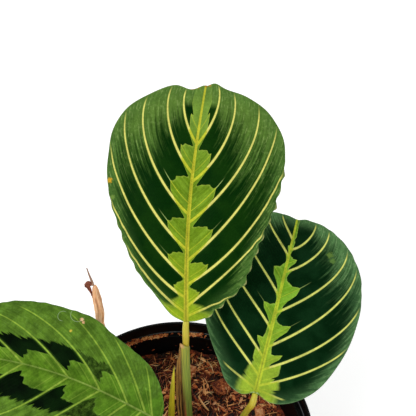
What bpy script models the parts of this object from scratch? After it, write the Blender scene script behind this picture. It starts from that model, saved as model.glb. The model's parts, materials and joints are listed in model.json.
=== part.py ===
"""Potted prayer plant (Maranta leuconeura) in a thin-walled 12 cm nursery pot.

Metres, +Z up.  The origin is the centre of the pot's flat underside.
Three leaves rise on bent stalks from one crown, beside a rolled new leaf and a dry old stalk.
"""

import math
import random

import bmesh
import bpy
from mathutils import Matrix, Vector

MM = 0.001
GAP = 0.3 * MM                      # clearance between neighbouring solids
OBJECT_NAME = "potted_prayer_plant"

# Pot
POT_HEIGHT = 92.0 * MM
RIM_RADIUS = 60.0 * MM              # outside of the rim
BASE_RADIUS = 42.0 * MM             # outside of the foot
WALL = 1.4 * MM
FLOOR = 1.6 * MM
COLLAR_HEIGHT = 8.5 * MM            # wide band under the rim
COLLAR_STEP = 2.2 * MM              # how far the wall steps in below the band
POT_SEGMENTS = 72
DRAIN_HOLES = 8
DRAIN_RADIUS = 4.0 * MM
DRAIN_CIRCLE = 30.0 * MM

# Growing mix
SOIL_EDGE = 73.0 * MM               # height where the mix meets the wall
SOIL_DOME = 1.6 * MM                # extra height in the middle
SOIL_WAVE = 0.7 * MM
SOIL_RINGS = 9

# Leaves: rows across and along the coarse blade, and its thickness at midrib and lamina
BLADE_ROWS = 24
BLADE_COLUMNS = 14
MIDRIB_THICKNESS = 1.3 * MM
LAMINA_SHARE = 0.42                 # lamina thickness as a share of the midrib's
BLADE_NECK = 1.4 * MM               # half width where the stalk joins

# Each blade lies in its own plane: heading from +Y towards +X, pitch above level and roll, in
# degrees.  Its margins are points (across, along) in millimetres, from the neck to the tip.
LEAVES = {
    "main": dict(
        base=(4.5, 22.4, 150.0), heading=6.4, pitch=41.1, roll=-4.9, length=95.8, bow=-2.5,
        arch=2.6, tip_droop=5.0, ruffle=0.9, side_droop=(2.0, 3.0),
        left=[(-6.7, 2.7), (-13.4, 10.0), (-21.8, 19.5), (-29.5, 34.2), (-35.5, 49.4), (-37.0, 62.0),
              (-36.0, 74.3), (-31.5, 83.5), (-22.8, 89.8), (-12.3, 94.1), (-5.5, 94.4)],
        right=[(7.9, 2.1), (16.1, 10.1), (21.9, 16.5), (25.1, 27.0), (28.6, 38.0), (32.8, 51.5),
               (34.8, 66.2), (33.0, 77.3), (26.5, 86.8), (17.2, 92.5), (8.1, 94.9), (3.4, 96.4)],
    ),
    "right": dict(
        base=(32.9, 5.5, 121.0), heading=15.5, pitch=17.9, roll=-4.5, length=81.4, bow=0.2,
        arch=2.0, tip_droop=2.5, ruffle=0.5, side_droop=(1.5, 2.0),
        left=[(-6.1, -1.4), (-13.0, 2.0), (-17.8, 9.0), (-24.1, 18.2), (-29.4, 29.0), (-29.9, 40.0),
              (-27.3, 58.2), (-21.0, 73.5), (-13.9, 81.2), (-6.5, 82.2)],
        right=[(6.9, -2.0), (13.0, -0.9), (19.7, 3.0), (25.6, 9.3), (30.4, 18.8), (34.1, 30.3),
               (35.7, 44.0), (34.5, 55.5), (31.4, 64.6), (24.8, 73.6), (14.8, 80.2), (6.0, 82.0)],
    ),
    "left": dict(
        base=(-5.6, -8.7, 124.0), heading=-74.2, pitch=7.1, roll=24.7, length=97.4, bow=5.8,
        arch=2.4, tip_droop=8.0, ruffle=0.6, side_droop=(4.0, 2.0),
        left=[(-7.0, -1.5), (-13.5, 3.0), (-19.5, 11.0), (-23.8, 23.0), (-26.3, 38.0), (-26.8, 53.0),
              (-25.0, 67.0), (-20.5, 79.5), (-13.5, 89.5), (-6.0, 95.5)],
        right=[(6.7, 0.9), (13.8, 4.9), (19.9, 11.2), (23.8, 19.5), (27.6, 29.5), (31.6, 39.0),
               (32.2, 50.0), (31.6, 62.0), (28.4, 75.5), (21.5, 87.0), (12.5, 94.0), (5.0, 97.0)],
    ),
}

# Stalk routes in millimetres, from inside the mix up to where the bend under the blade begins
STALKS = {
    "main": [(5.8, 0.3, 66.0), (5.6, 2.1, 73.0), (5.2, 7.2, 92.2), (4.5, 12.2, 111.5),
             (3.8, 17.0, 130.8), (3.6, 19.2, 142.5)],
    "right": [(12.6, 0.2, 67.5), (15.0, 0.9, 74.0), (20.6, 2.2, 84.5), (25.6, 3.0, 97.0),
              (28.7, 3.4, 106.5), (30.4, 3.4, 112.0), (31.6, 2.6, 117.2)],
    "left": [(0.6, -6.2, 66.0), (0.6, -7.2, 73.0), (0.8, -9.0, 90.0), (1.0, -10.2, 106.0),
             (0.2, -10.7, 117.5)],
}
STALK_RADIUS = 1.3 * MM
BEND_RADIUS = 1.55 * MM             # the swollen joint under the blade
BEND_RUN = 2.2                      # straight end of the bend, in millimetres
STALK_SIDES = 3                     # bevel resolution

# Sheaths: clasping leaf bases, as (stalk, height of the top in mm, side it opens to in degrees)
SHEATH_BORE = STALK_RADIUS + GAP
SHEATH_WALL = 0.5 * MM
SHEATHS = {
    "main": dict(top=140.5, opening=200.0, span=285.0, tip_slant=7.0),
    "right": dict(top=97.0, opening=80.0, span=275.0, tip_slant=6.0),
    "left": dict(top=103.0, opening=20.0, span=275.0, tip_slant=6.0),
}
SHEATH_FOOT = 68.5                  # height of the sheaths' lower ends in the mix, in millimetres

# New leaf, still rolled, and the dry remains of an old one
SHOOT_ROUTE = [(-4.1, 0.2, 66.0), (-3.9, 2.1, 73.0), (-2.9, 8.0, 93.0), (-1.8, 11.4, 113.0),
               (-0.6, 13.6, 130.0)]
SHOOT_RADII = [1.5, 1.65, 1.5, 1.05, 0.25]
DEAD_ROUTE = [(0.2, 8.4, 68.0), (-3.4, 11.2, 75.5), (-13.5, 19.0, 91.0), (-25.0, 29.0, 108.5),
              (-32.4, 35.2, 125.0), (-34.0, 37.2, 140.0), (-34.0, 37.2, 150.0), (-33.8, 36.7, 155.0)]
DEAD_RADII = [1.3, 1.35, 1.3, 1.3, 1.5, 1.95, 1.3, 0.8]
CURL_ROUTE = [(-36.8, 37.6, 140.5), (-37.4, 38.2, 146.0), (-37.4, 38.1, 151.0), (-36.6, 37.8, 154.4)]
WHISKER_ROUTE = [(-34.0, 37.0, 155.8), (-35.0, 38.8, 158.8), (-35.8, 40.2, 161.6)]
DRY_SHEATH = dict(foot=76.5, top=138.5, width=3.4, side=172.0)

# Loose pieces on the mix: (x, y, length, width, thickness, turn) in millimetres and degrees
BARK_CHIPS = [
    (20.0, 34.0, 11.0, 6.5, 3.0, 25.0), (-22.0, -14.0, 12.0, 7.0, 3.2, 110.0),
    (4.0, 42.0, 8.0, 5.0, 2.6, 160.0), (34.0, -12.0, 9.5, 6.5, 3.0, 65.0),
    (-38.0, 8.0, 8.5, 5.0, 2.8, 40.0), (13.0, -32.0, 11.5, 6.0, 3.2, 12.0),
    (-18.0, 41.0, 8.0, 5.5, 2.6, 78.0), (-9.0, -40.0, 8.5, 5.5, 2.8, 140.0),
    (38.0, 22.0, 8.0, 5.0, 2.4, 100.0),
]
FIBRES = [(11.5, 25.0, 9.0, 128.0), (20.5, 17.5, 6.5, 25.0), (-8.5, 17.5, 10.0, 62.0),
          (-24.0, 5.0, 12.0, 15.0), (28.0, -28.0, 11.0, 150.0), (-14.0, -29.0, 9.0, 95.0)]
FIBRE_RADIUS = 0.45 * MM
LEDGE_CRUMBS = [(112.0, 4.2, 1.5, 1.1), (80.0, 3.2, 1.4, 1.0)]   # angle, length, width, thickness


def clear_scene():
    for obj in list(bpy.data.objects):
        bpy.data.objects.remove(obj, do_unlink=True)


def new_collection(name):
    collection = bpy.data.collections.new(name)
    bpy.context.scene.collection.children.link(collection)
    return collection


def make_material(name, colour, roughness):
    material = bpy.data.materials.new(name)
    material.use_nodes = True
    shader = material.node_tree.nodes["Principled BSDF"]
    shader.inputs["Base Color"].default_value = (*colour, 1.0)
    shader.inputs["Roughness"].default_value = roughness
    shader.inputs["Metallic"].default_value = 0.0
    material.diffuse_color = (*colour, 1.0)
    return material


def add_object(name, data, collection, material=None):
    obj = bpy.data.objects.new(name, data)
    collection.objects.link(obj)
    if material:
        data.materials.append(material)
    return obj


def mesh_from(bm, name, smooth=True):
    """Turn a BMesh into a mesh with its faces pointing out."""
    bmesh.ops.recalc_face_normals(bm, faces=bm.faces)
    mesh = bpy.data.meshes.new(name)
    bm.to_mesh(mesh)
    bm.free()
    if smooth:
        mesh.shade_smooth()
        mesh.set_sharp_from_angle(angle=math.radians(40.0))
    return mesh


def smooth_points(points, per_span):
    """Points along a Catmull-Rom curve through the given ones."""
    pts = [Vector(p) for p in points]
    pts = [2.0 * pts[0] - pts[1]] + pts + [2.0 * pts[-1] - pts[-2]]
    out = []
    for i in range(1, len(pts) - 2):
        a, b, c, d = pts[i - 1:i + 3]
        for k in range(per_span):
            t = k / per_span
            out.append(0.5 * (2.0 * b + (c - a) * t + (2.0 * a - 5.0 * b + 4.0 * c - d) * t ** 2
                              + (3.0 * b - a - 3.0 * c + d) * t ** 3))
    return out + [pts[-2]]


def smooth_values(values, per_span):
    return [p.x for p in smooth_points([(v, 0.0, 0.0) for v in values], per_span)]


def tube(name, points, radii, collection, material, sides=STALK_SIDES):
    """A round tube with filled caps through points, with one radius for each."""
    curve = bpy.data.curves.new(name, "CURVE")
    curve.dimensions = "3D"
    curve.bevel_depth = 1.0
    curve.bevel_resolution = sides - 1
    curve.use_fill_caps = True
    spline = curve.splines.new("POLY")
    spline.points.add(len(points) - 1)
    for target, point, radius in zip(spline.points, points, radii):
        target.co = (*point, 1.0)
        target.radius = radius
    return add_object(name, curve, collection, material)


def cut(target, cutters):
    for cutter in cutters:
        modifier = target.modifiers.new(cutter.name, "BOOLEAN")
        modifier.operation = "DIFFERENCE"
        modifier.solver = "EXACT"
        modifier.object = cutter


def cylinder_cutter(name, start, end, radius, collection):
    """A cylinder between two points that only cuts."""
    axis = Vector(end) - Vector(start)
    bm = bmesh.new()
    bmesh.ops.create_cone(bm, cap_ends=True, segments=16, radius1=radius, radius2=radius,
                          depth=axis.length)
    cutter = add_object(name, mesh_from(bm, name, smooth=False), collection)
    turn = axis.to_track_quat("Z", "Y").to_matrix().to_4x4()
    cutter.matrix_world = Matrix.Translation((Vector(start) + Vector(end)) / 2.0) @ turn
    cutter.hide_render = True
    cutter.display_type = "WIRE"
    return cutter


# ---------------------------------------------------------------- pot and growing mix

def wall_radius(z):
    """Outer radius of the plain wall at a height."""
    top = POT_HEIGHT - COLLAR_HEIGHT
    return BASE_RADIUS + (RIM_RADIUS - COLLAR_STEP - 0.6 * MM - BASE_RADIUS) * z / top


def build_pot(collection, cutters, material):
    step_z = POT_HEIGHT - COLLAR_HEIGHT
    ledge_z = step_z + WALL
    inner_rim = RIM_RADIUS - WALL
    profile = [
        (0.0, FLOOR), (BASE_RADIUS - WALL - 2.5 * MM, FLOOR),
        (wall_radius(4.0 * MM) - WALL, 4.0 * MM), (wall_radius(step_z) - WALL, ledge_z - 0.4 * MM),
        (wall_radius(step_z) - WALL + 0.5 * MM, ledge_z), (inner_rim - 0.6 * MM, ledge_z),
        (inner_rim - 0.1 * MM, ledge_z + 0.5 * MM), (inner_rim, POT_HEIGHT - 0.5 * MM),
        (inner_rim + 0.4 * MM, POT_HEIGHT), (RIM_RADIUS - 0.4 * MM, POT_HEIGHT),
        (RIM_RADIUS, POT_HEIGHT - 0.5 * MM), (RIM_RADIUS, POT_HEIGHT - 2.0 * MM),
        (RIM_RADIUS - 0.6 * MM, POT_HEIGHT - 2.6 * MM), (RIM_RADIUS - 0.6 * MM, step_z + 0.3 * MM),
        (RIM_RADIUS - 1.0 * MM, step_z), (wall_radius(step_z) + 0.3 * MM, step_z),
        (wall_radius(step_z), step_z - 0.4 * MM), (wall_radius(2.0 * MM), 2.0 * MM),
        (BASE_RADIUS - 1.2 * MM, 0.0), (0.0, 0.0),
    ]
    bm = bmesh.new()
    verts = [bm.verts.new((r, 0.0, z)) for r, z in profile]
    for a, b in zip(verts, verts[1:]):
        bm.edges.new((a, b))
    mesh = bpy.data.meshes.new("nursery_pot")
    bm.to_mesh(mesh)
    bm.free()
    pot = add_object("nursery_pot", mesh, collection, material)
    screw = pot.modifiers.new("Turned", "SCREW")
    screw.steps = POT_SEGMENTS
    screw.render_steps = POT_SEGMENTS
    screw.use_merge_vertices = True
    screw.merge_threshold = 0.00005
    screw.use_smooth_shade = True
    holes = []
    for i in range(DRAIN_HOLES):
        angle = 2.0 * math.pi * i / DRAIN_HOLES
        x, y = DRAIN_CIRCLE * math.cos(angle), DRAIN_CIRCLE * math.sin(angle)
        holes.append(cylinder_cutter(f"drain_{i + 1}", (x, y, -2.0 * MM), (x, y, 3.0 * MM),
                                     DRAIN_RADIUS, cutters))
    cut(pot, holes)
    return pot


def soil_height(x, y):
    """Height of the mix's lumpy top."""
    r = math.hypot(x, y)
    share = min(r / (wall_radius(SOIL_EDGE) - WALL), 1.0)
    wave = (math.sin(0.21 * x / MM + 1.3) * math.cos(0.17 * y / MM - 0.6)
            + 0.6 * math.sin(0.33 * (x + y) / MM + 2.0))
    return SOIL_EDGE + SOIL_DOME * (1.0 - share ** 2) + SOIL_WAVE * wave * (1.0 - share ** 6)


def build_soil(collection, cutters, material):
    """A tapered plug that fills the pot, with a socket for each stalk."""
    bottom = FLOOR + GAP
    bm = bmesh.new()
    profile = [(0.0, bottom), (wall_radius(4.0 * MM) - WALL - 3.2 * MM, bottom),
               (wall_radius(4.5 * MM) - WALL - GAP, 4.5 * MM)]
    edge = wall_radius(SOIL_EDGE) - WALL - GAP
    profile += [(edge * (1.0 - k / SOIL_RINGS), SOIL_EDGE) for k in range(SOIL_RINGS)]
    profile.append((0.0, SOIL_EDGE))
    verts = [bm.verts.new((r, 0.0, z)) for r, z in profile]
    edges = [bm.edges.new(pair) for pair in zip(verts, verts[1:])]
    bmesh.ops.spin(bm, geom=verts + edges, axis=(0.0, 0.0, 1.0), cent=(0.0, 0.0, 0.0),
                   angle=2.0 * math.pi, steps=POT_SEGMENTS, use_merge=True)
    bmesh.ops.remove_doubles(bm, verts=bm.verts, dist=0.00001)
    for vert in bm.verts:
        if vert.co.z > SOIL_EDGE - 1.0 * MM:
            vert.co.z = soil_height(vert.co.x, vert.co.y)
    soil = add_object("growing_mix", mesh_from(bm, "growing_mix"), collection, material)
    sockets = []
    routes = [(name, STALKS[name], SHEATH_BORE + SHEATH_WALL) for name in STALKS]
    routes.append(("shoot", SHOOT_ROUTE, max(SHOOT_RADII) * MM))
    routes.append(("dead", DEAD_ROUTE, max(DEAD_RADII[:3]) * MM))
    for name, route, radius in routes:
        low = Vector(route[0]) * MM
        entry = Vector(route[1]) * MM
        along = (entry - low).normalized()
        sockets.append(cylinder_cutter(f"socket_{name}", low - along * 2.0 * GAP,
                                       entry + along * 10.0 * MM, radius + 1.6 * GAP, cutters))
    cut(soil, sockets)
    return soil


# ---------------------------------------------------------------- leaves

def leaf_axes(leaf):
    """Across, along and outward directions of a blade's plane."""
    heading, pitch, roll = (math.radians(leaf[k]) for k in ("heading", "pitch", "roll"))
    along = Vector((math.sin(heading) * math.cos(pitch), math.cos(heading) * math.cos(pitch),
                    math.sin(pitch)))
    level = Vector((math.cos(heading), -math.sin(heading), 0.0))
    up = level.cross(along)
    across = level * math.cos(roll) + up * math.sin(roll)
    return across, along, across.cross(along)


def midrib_x(leaf, y):
    return leaf["bow"] * math.sin(math.pi * min(max(y / leaf["length"], 0.0), 1.0))


def relief(leaf, x, y):
    """Height of the blade over its plane, in millimetres: arched halves beside a sunken midrib."""
    v = min(max(y / leaf["length"], 0.0), 1.0)
    off = x - midrib_x(leaf, y)
    side = abs(off) / 34.0
    body = math.sin(math.pi * min(v * 1.15 + 0.06, 1.0))
    arch = leaf["arch"] * math.sin(math.pi * min(side, 1.0) ** 0.8) * body
    fall = leaf["side_droop"][0 if off < 0.0 else 1] * side ** 2
    droop = leaf["tip_droop"] * max(0.0, (v - 0.55) / 0.45) ** 2
    ruffle = leaf["ruffle"] * side ** 3 * math.sin(0.42 * y + (0.8 if off > 0.0 else 2.1))
    return arch - fall - droop + ruffle


def place(leaf, x, y, z=0.0):
    """A point of the blade's own plane as a point of the plant, in metres."""
    across, along, out = leaf_axes(leaf)
    return (Vector(leaf["base"]) + across * x + along * y + out * z) * MM


def build_blade(name, leaf, collection, material):
    """An open grid from margin to margin, thickened below, most at the midrib."""
    neck = BLADE_NECK / MM
    tip = (midrib_x(leaf, leaf["length"]), leaf["length"])
    sides = []
    for sign, key in ((-1.0, "left"), (1.0, "right")):
        margin = [(sign * neck, 0.0, 0.0)] + [(*p, 0.0) for p in leaf[key]]
        margin.append((tip[0] + sign * 0.8, tip[1], 0.0))
        sides.append(smooth_points(margin, 4))
    bm = bmesh.new()
    bmesh.ops.create_grid(bm, x_segments=BLADE_COLUMNS, y_segments=BLADE_ROWS, size=1.0)
    midrib_group = 0
    layer = bm.verts.layers.deform.verify()
    for vert in bm.verts:
        s, t = vert.co.x, (vert.co.y + 1.0) / 2.0
        margin = sides[0 if s < 0.0 else 1]
        position = t * (len(margin) - 1)
        k = min(int(position), len(margin) - 2)
        edge = margin[k].lerp(margin[k + 1], position - k)
        root_y = tip[1] * t ** 1.35
        root = Vector((midrib_x(leaf, root_y), root_y, 0.0))
        spot = root.lerp(edge, abs(s))
        vert.co = place(leaf, spot.x, spot.y, relief(leaf, spot.x, spot.y))
        near_rib = max(0.0, 1.0 - abs(s) * BLADE_COLUMNS / 2.0)
        vert[layer][midrib_group] = near_rib * (1.0 - 0.75 * t)
    bmesh.ops.recalc_face_normals(bm, faces=bm.faces)
    if sum((face.normal for face in bm.faces), Vector()).dot(leaf_axes(leaf)[2]) < 0.0:
        bmesh.ops.reverse_faces(bm, faces=bm.faces)
    mesh = bpy.data.meshes.new(name)
    bm.to_mesh(mesh)
    bm.free()
    mesh.shade_smooth()
    blade = add_object(name, mesh, collection, material)
    blade.vertex_groups.new(name="midrib")
    shell = blade.modifiers.new("Thickness", "SOLIDIFY")
    shell.thickness = MIDRIB_THICKNESS
    shell.offset = -1.0
    shell.vertex_group = "midrib"
    shell.thickness_vertex_group = LAMINA_SHARE
    return blade


def stalk_points(name):
    """Route of a stalk in metres, with the bend that carries the blade."""
    leaf = LEAVES[name]
    end = place(leaf, 0.0, -GAP / MM, -MIDRIB_THICKNESS / MM * 0.5) / MM
    straight = place(leaf, 0.0, -GAP / MM - BEND_RUN, -MIDRIB_THICKNESS / MM * 0.5) / MM
    route = smooth_points([Vector(p) for p in STALKS[name]] + [straight], 4)
    return [p * MM for p in route + [end]]


def build_stalk(name, collection, material):
    points = stalk_points(name)
    bend_start = len(points) - 5
    radii = [STALK_RADIUS if i < bend_start else BEND_RADIUS for i in range(len(points))]
    return tube(f"{name}_petiole", points, radii, collection, material)


def at_height(points, z):
    """Point and direction of a route at a height."""
    for a, b in zip(points, points[1:]):
        if b.z >= z:
            return a.lerp(b, (z - a.z) / (b.z - a.z)), (b - a).normalized()
    return points[-1], (points[-1] - points[-2]).normalized()


def build_sheath(name, spec, collection, material):
    """An open clasping tube round a stalk, with a slanted lip, thickened outwards."""
    route = stalk_points(name)
    span, opening = math.radians(spec["span"]), math.radians(spec["opening"])
    bm = bmesh.new()
    bmesh.ops.create_grid(bm, x_segments=12, y_segments=12, size=1.0)
    for vert in bm.verts:
        u, t = vert.co.x, (vert.co.y + 1.0) / 2.0
        lip = spec["tip_slant"] * u * u
        z = SHEATH_FOOT + (spec["top"] - lip - SHEATH_FOOT) * t
        centre, along = at_height(route, z * MM)
        angle = opening + math.pi + u * span / 2.0
        out = Vector((math.cos(angle), math.sin(angle), 0.0))
        out = (out - along * out.dot(along)).normalized()
        vert.co = centre + out * (SHEATH_BORE + 0.25 * MM * t * abs(u))
    centre = at_height(route, (SHEATH_FOOT + spec["top"]) / 2.0 * MM)[0]
    bmesh.ops.recalc_face_normals(bm, faces=bm.faces)
    middle = min(bm.faces, key=lambda f: (f.calc_center_median() - centre).length)
    if middle.normal.dot(middle.calc_center_median() - centre) < 0.0:
        bmesh.ops.reverse_faces(bm, faces=bm.faces)
    mesh = bpy.data.meshes.new(f"{name}_sheath")
    bm.to_mesh(mesh)
    bm.free()
    mesh.shade_smooth()
    sheath = add_object(f"{name}_sheath", mesh, collection, material)
    shell = sheath.modifiers.new("Thickness", "SOLIDIFY")
    shell.thickness = SHEATH_WALL
    shell.offset = 1.0
    return sheath


def build_dry_sheath(collection, material):
    """A withered strip that stands beside the main sheath and narrows upwards."""
    route = stalk_points("main")
    side = math.radians(DRY_SHEATH["side"])
    reach = SHEATH_BORE + SHEATH_WALL + 0.25 * MM + GAP
    bm = bmesh.new()
    bmesh.ops.create_grid(bm, x_segments=3, y_segments=14, size=1.0)
    for vert in bm.verts:
        u, t = (vert.co.x + 1.0) / 2.0, (vert.co.y + 1.0) / 2.0
        rise = DRY_SHEATH["top"] - DRY_SHEATH["foot"]
        centre, _ = at_height(route, (DRY_SHEATH["foot"] + rise * t) * MM)
        width = DRY_SHEATH["width"] * MM * (1.0 - 0.8 * t)
        angle = side + math.radians(14.0) * u * math.sin(5.0 * t)
        out = Vector((math.cos(angle), math.sin(angle), 0.0))
        vert.co = centre + out * (reach + width * u)
    mesh = mesh_from(bm, "dry_sheath")
    strip = add_object("dry_sheath", mesh, collection, material)
    shell = strip.modifiers.new("Thickness", "SOLIDIFY")
    shell.thickness = 0.45 * MM
    shell.offset = 0.0
    return strip


# ---------------------------------------------------------------- loose pieces

def chip_mesh(name, length, width, thickness, seed):
    """An irregular split piece of bark: the hull of scattered points."""
    rng = random.Random(seed)
    bm = bmesh.new()
    for _ in range(22):
        direction = Vector((rng.gauss(0.0, 1.0), rng.gauss(0.0, 1.0), rng.gauss(0.0, 1.0)))
        direction /= max(abs(c) for c in direction)
        reach = rng.uniform(0.8, 1.0)
        bm.verts.new((direction.x * length * reach / 2.0, direction.y * width * reach / 2.0,
                      direction.z * thickness * reach / 2.0))
    hull = bmesh.ops.convex_hull(bm, input=bm.verts)
    bmesh.ops.delete(bm, geom=list(set(hull["geom_interior"])), context="VERTS")
    return mesh_from(bm, name, smooth=False)


def rest_height(x, y, reach):
    """Highest point of the mix under a piece of this reach."""
    samples = [(x + reach * math.cos(a), y + reach * math.sin(a)) for a in (0, 1, 2, 3, 4, 5, 6)]
    samples += [(x + 0.5 * (px - x), y + 0.5 * (py - y)) for px, py in samples] + [(x, y)]
    return max(soil_height(px, py) for px, py in samples)


def build_loose_pieces(collection, bark, straw):
    for i, (x, y, length, width, thickness, turn) in enumerate(BARK_CHIPS, 1):
        name = f"bark_chip_{i}"
        mesh = chip_mesh(name, length * MM, width * MM, thickness * MM, i)
        chip = add_object(name, mesh, collection, bark)
        lift = thickness / 2.0 * MM + GAP
        chip.location = (x * MM, y * MM, rest_height(x * MM, y * MM, width * 0.4 * MM) + lift)
        chip.rotation_euler = (0.0, 0.0, math.radians(turn))
    for i, (x, y, length, turn) in enumerate(FIBRES, 1):
        heading = Vector((math.cos(math.radians(turn)), math.sin(math.radians(turn)), 0.0))
        points = []
        for k in range(7):
            offset = (k / 6.0 - 0.5) * length * MM
            spot = Vector((x, y, 0.0)) * MM + heading * offset
            spot += Vector((-heading.y, heading.x, 0.0)) * 0.8 * MM * math.sin(2.2 * k / 6.0 + i)
            spot.z = soil_height(spot.x, spot.y) + FIBRE_RADIUS + 1.4 * GAP
            points.append(spot)
        tube(f"coir_fibre_{i}", points, [FIBRE_RADIUS] * len(points), collection, straw, sides=2)
    ledge_z = POT_HEIGHT - COLLAR_HEIGHT + WALL
    for i, (angle, length, width, thickness) in enumerate(LEDGE_CRUMBS, 1):
        name = f"ledge_crumb_{i}"
        crumb = add_object(name, chip_mesh(name, length * MM, width * MM, thickness * MM, 40 + i),
                           collection, bark)
        radius = RIM_RADIUS - WALL - (width / 2.0 + 0.5) * MM
        turn = math.radians(angle)
        crumb.location = (radius * math.cos(turn), radius * math.sin(turn),
                          ledge_z + thickness / 2.0 * MM + GAP)
        crumb.rotation_euler = (0.0, 0.0, turn + math.pi / 2.0)


# ---------------------------------------------------------------- the whole plant

def main():
    clear_scene()
    parts = new_collection(OBJECT_NAME)
    cutters = new_collection("cutters")
    plastic = make_material("black_pot_plastic", (0.010, 0.010, 0.012), 0.45)
    mix = make_material("coir_and_bark_mix", (0.10, 0.035, 0.014), 0.95)
    green = make_material("leaf_green", (0.030, 0.105, 0.022), 0.5)
    blue_green = make_material("shaded_leaf_green", (0.012, 0.036, 0.020), 0.5)
    light_green = make_material("young_leaf_green", (0.075, 0.20, 0.030), 0.5)
    stalk_green = make_material("stalk_green", (0.27, 0.30, 0.035), 0.5)
    dry = make_material("dry_stalk_tan", (0.50, 0.27, 0.12), 0.8)
    brown = make_material("dry_edge_brown", (0.13, 0.045, 0.018), 0.85)
    bark = make_material("bark_brown", (0.17, 0.065, 0.024), 0.95)
    straw = make_material("coir_straw", (0.52, 0.29, 0.12), 0.85)

    build_pot(parts, cutters, plastic)
    build_soil(parts, cutters, mix)
    for name, colour in (("main", green), ("right", blue_green), ("left", light_green)):
        build_blade(f"{name}_leaf_blade", LEAVES[name], parts, colour)
        build_stalk(name, parts, stalk_green)
        build_sheath(name, SHEATHS[name], parts, stalk_green)
    build_dry_sheath(parts, brown)
    shoot = [p * MM for p in smooth_points(SHOOT_ROUTE, 4)]
    tube("rolled_new_leaf", shoot, [r * MM for r in smooth_values(SHOOT_RADII, 4)], parts, stalk_green)
    dead = [p * MM for p in smooth_points(DEAD_ROUTE, 3)]
    tube("dead_stalk", dead, [r * MM for r in smooth_values(DEAD_RADII, 3)], parts, dry)
    curl = [p * MM for p in smooth_points(CURL_ROUTE, 3)]
    tube("dead_stalk_curl", curl, [0.5 * MM] * len(curl), parts, brown, sides=2)
    whisker = [p * MM for p in smooth_points(WHISKER_ROUTE, 2)]
    tube("dead_stalk_whisker", whisker, [0.35 * MM] * len(whisker), parts, brown, sides=2)
    build_loose_pieces(parts, bark, straw)


main()
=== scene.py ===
# %% [markdown]
# # A prayer plant in its nursery pot
#
# A young Maranta leuconeura, the prayer plant, as a garden centre sells it: three patterned leaves, a
# rolled new one and the dry rest of an old one, in a black 12 cm pot of coir and bark. The solid model
# gives every place and size. This file gives the looks: fine meshes over the plain solids, and a
# material for each surface, made of shader nodes. Lengths are in metres unless a name says mm.

# %% Load the solid model
import json
import math
import random

import bmesh
import bpy
import numpy as np
from mathutils import Matrix, Vector, noise

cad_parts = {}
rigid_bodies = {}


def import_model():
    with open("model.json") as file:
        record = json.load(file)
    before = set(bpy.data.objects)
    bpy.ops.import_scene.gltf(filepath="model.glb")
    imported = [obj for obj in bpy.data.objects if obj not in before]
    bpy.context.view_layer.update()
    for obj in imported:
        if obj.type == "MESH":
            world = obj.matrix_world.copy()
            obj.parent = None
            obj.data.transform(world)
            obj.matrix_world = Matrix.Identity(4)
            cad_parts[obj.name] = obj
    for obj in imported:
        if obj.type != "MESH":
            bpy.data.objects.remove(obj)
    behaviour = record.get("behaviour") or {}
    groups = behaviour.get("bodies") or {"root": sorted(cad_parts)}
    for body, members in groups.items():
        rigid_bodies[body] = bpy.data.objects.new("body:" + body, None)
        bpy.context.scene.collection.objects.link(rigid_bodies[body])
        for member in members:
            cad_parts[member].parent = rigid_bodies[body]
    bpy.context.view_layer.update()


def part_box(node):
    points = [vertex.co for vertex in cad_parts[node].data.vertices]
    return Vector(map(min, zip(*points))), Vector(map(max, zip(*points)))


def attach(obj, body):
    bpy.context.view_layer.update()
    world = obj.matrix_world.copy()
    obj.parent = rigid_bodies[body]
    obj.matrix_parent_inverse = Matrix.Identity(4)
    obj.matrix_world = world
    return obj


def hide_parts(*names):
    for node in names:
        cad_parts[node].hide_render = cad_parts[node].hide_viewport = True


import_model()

MM = 0.001

# %% [markdown]
# Colours are written as sRGB hex codes, which is how a screen shows them, and shaders want linear light,
# so one function converts. A second one adds a shader node with its settings and its links: an input may
# be a number, a colour or another node's output. A kind may carry its mode after a space, as in
# "Math MULTIPLY" or "Attribute rib_mm". The function also takes the points of a curve and the stops of a
# colour ramp, because those live deeper inside their nodes.

# %% Colours and nodes
def linear(code):
    """An sRGB hex code as linear RGBA."""
    channels = [int(code[i:i + 2], 16) / 255.0 for i in (0, 2, 4)]
    return (*[c / 12.92 if c <= 0.04045 else ((c + 0.055) / 1.055) ** 2.4 for c in channels], 1.0)


MODES = {"Math": "operation", "VectorMath": "operation", "MapRange": "interpolation_type",
         "MixRGB": "blend_type", "Attribute": "attribute_name"}


def add(tree, kind, inputs=(), out=0, points=None, stops=None):
    """Adds a shader node and returns one of its outputs."""
    kind, _, mode = kind.partition(" ")
    node = tree.nodes.new("ShaderNode" + kind)
    if mode:
        setattr(node, MODES[kind], mode)
    pairs = inputs.items() if isinstance(inputs, dict) else enumerate(inputs)
    for key, value in pairs:
        if isinstance(value, bpy.types.NodeSocket):
            tree.links.new(value, node.inputs[key])
        elif value is not None:
            node.inputs[key].default_value = value
    if points:
        curve = node.mapping.curves[0]
        curve.points[0].location, curve.points[1].location = points[0], points[-1]
        for point in points[1:-1]:
            curve.points.new(*point)
        for point in curve.points:
            point.handle_type = "VECTOR"
        node.mapping.update()
    if stops:
        ramp = node.color_ramp
        while len(ramp.elements) < len(stops):
            ramp.elements.new(0.5)
        for element, (place, code) in zip(ramp.elements, stops):
            element.position, element.color = place, linear(code)
    return node.outputs[out]


print("deep red", [round(c, 3) for c in linear("8c2014")])

# %% [markdown]
# Four more helpers: one keeps numbers on a mesh's points for its paint, one thickens a sheet, and two open
# and close a material. A bump's height is given in millimetres, like everything else.

# %% Meshes and materials
def remember(mesh, **numbers):
    """Keeps numbers on a mesh's points, where a material's Attribute node can read them."""
    for key, values in numbers.items():
        layer = mesh.attributes.new(key, "FLOAT", "POINT")
        layer.data.foreach_set("value", np.ascontiguousarray(values, dtype=np.float32).ravel())


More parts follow.
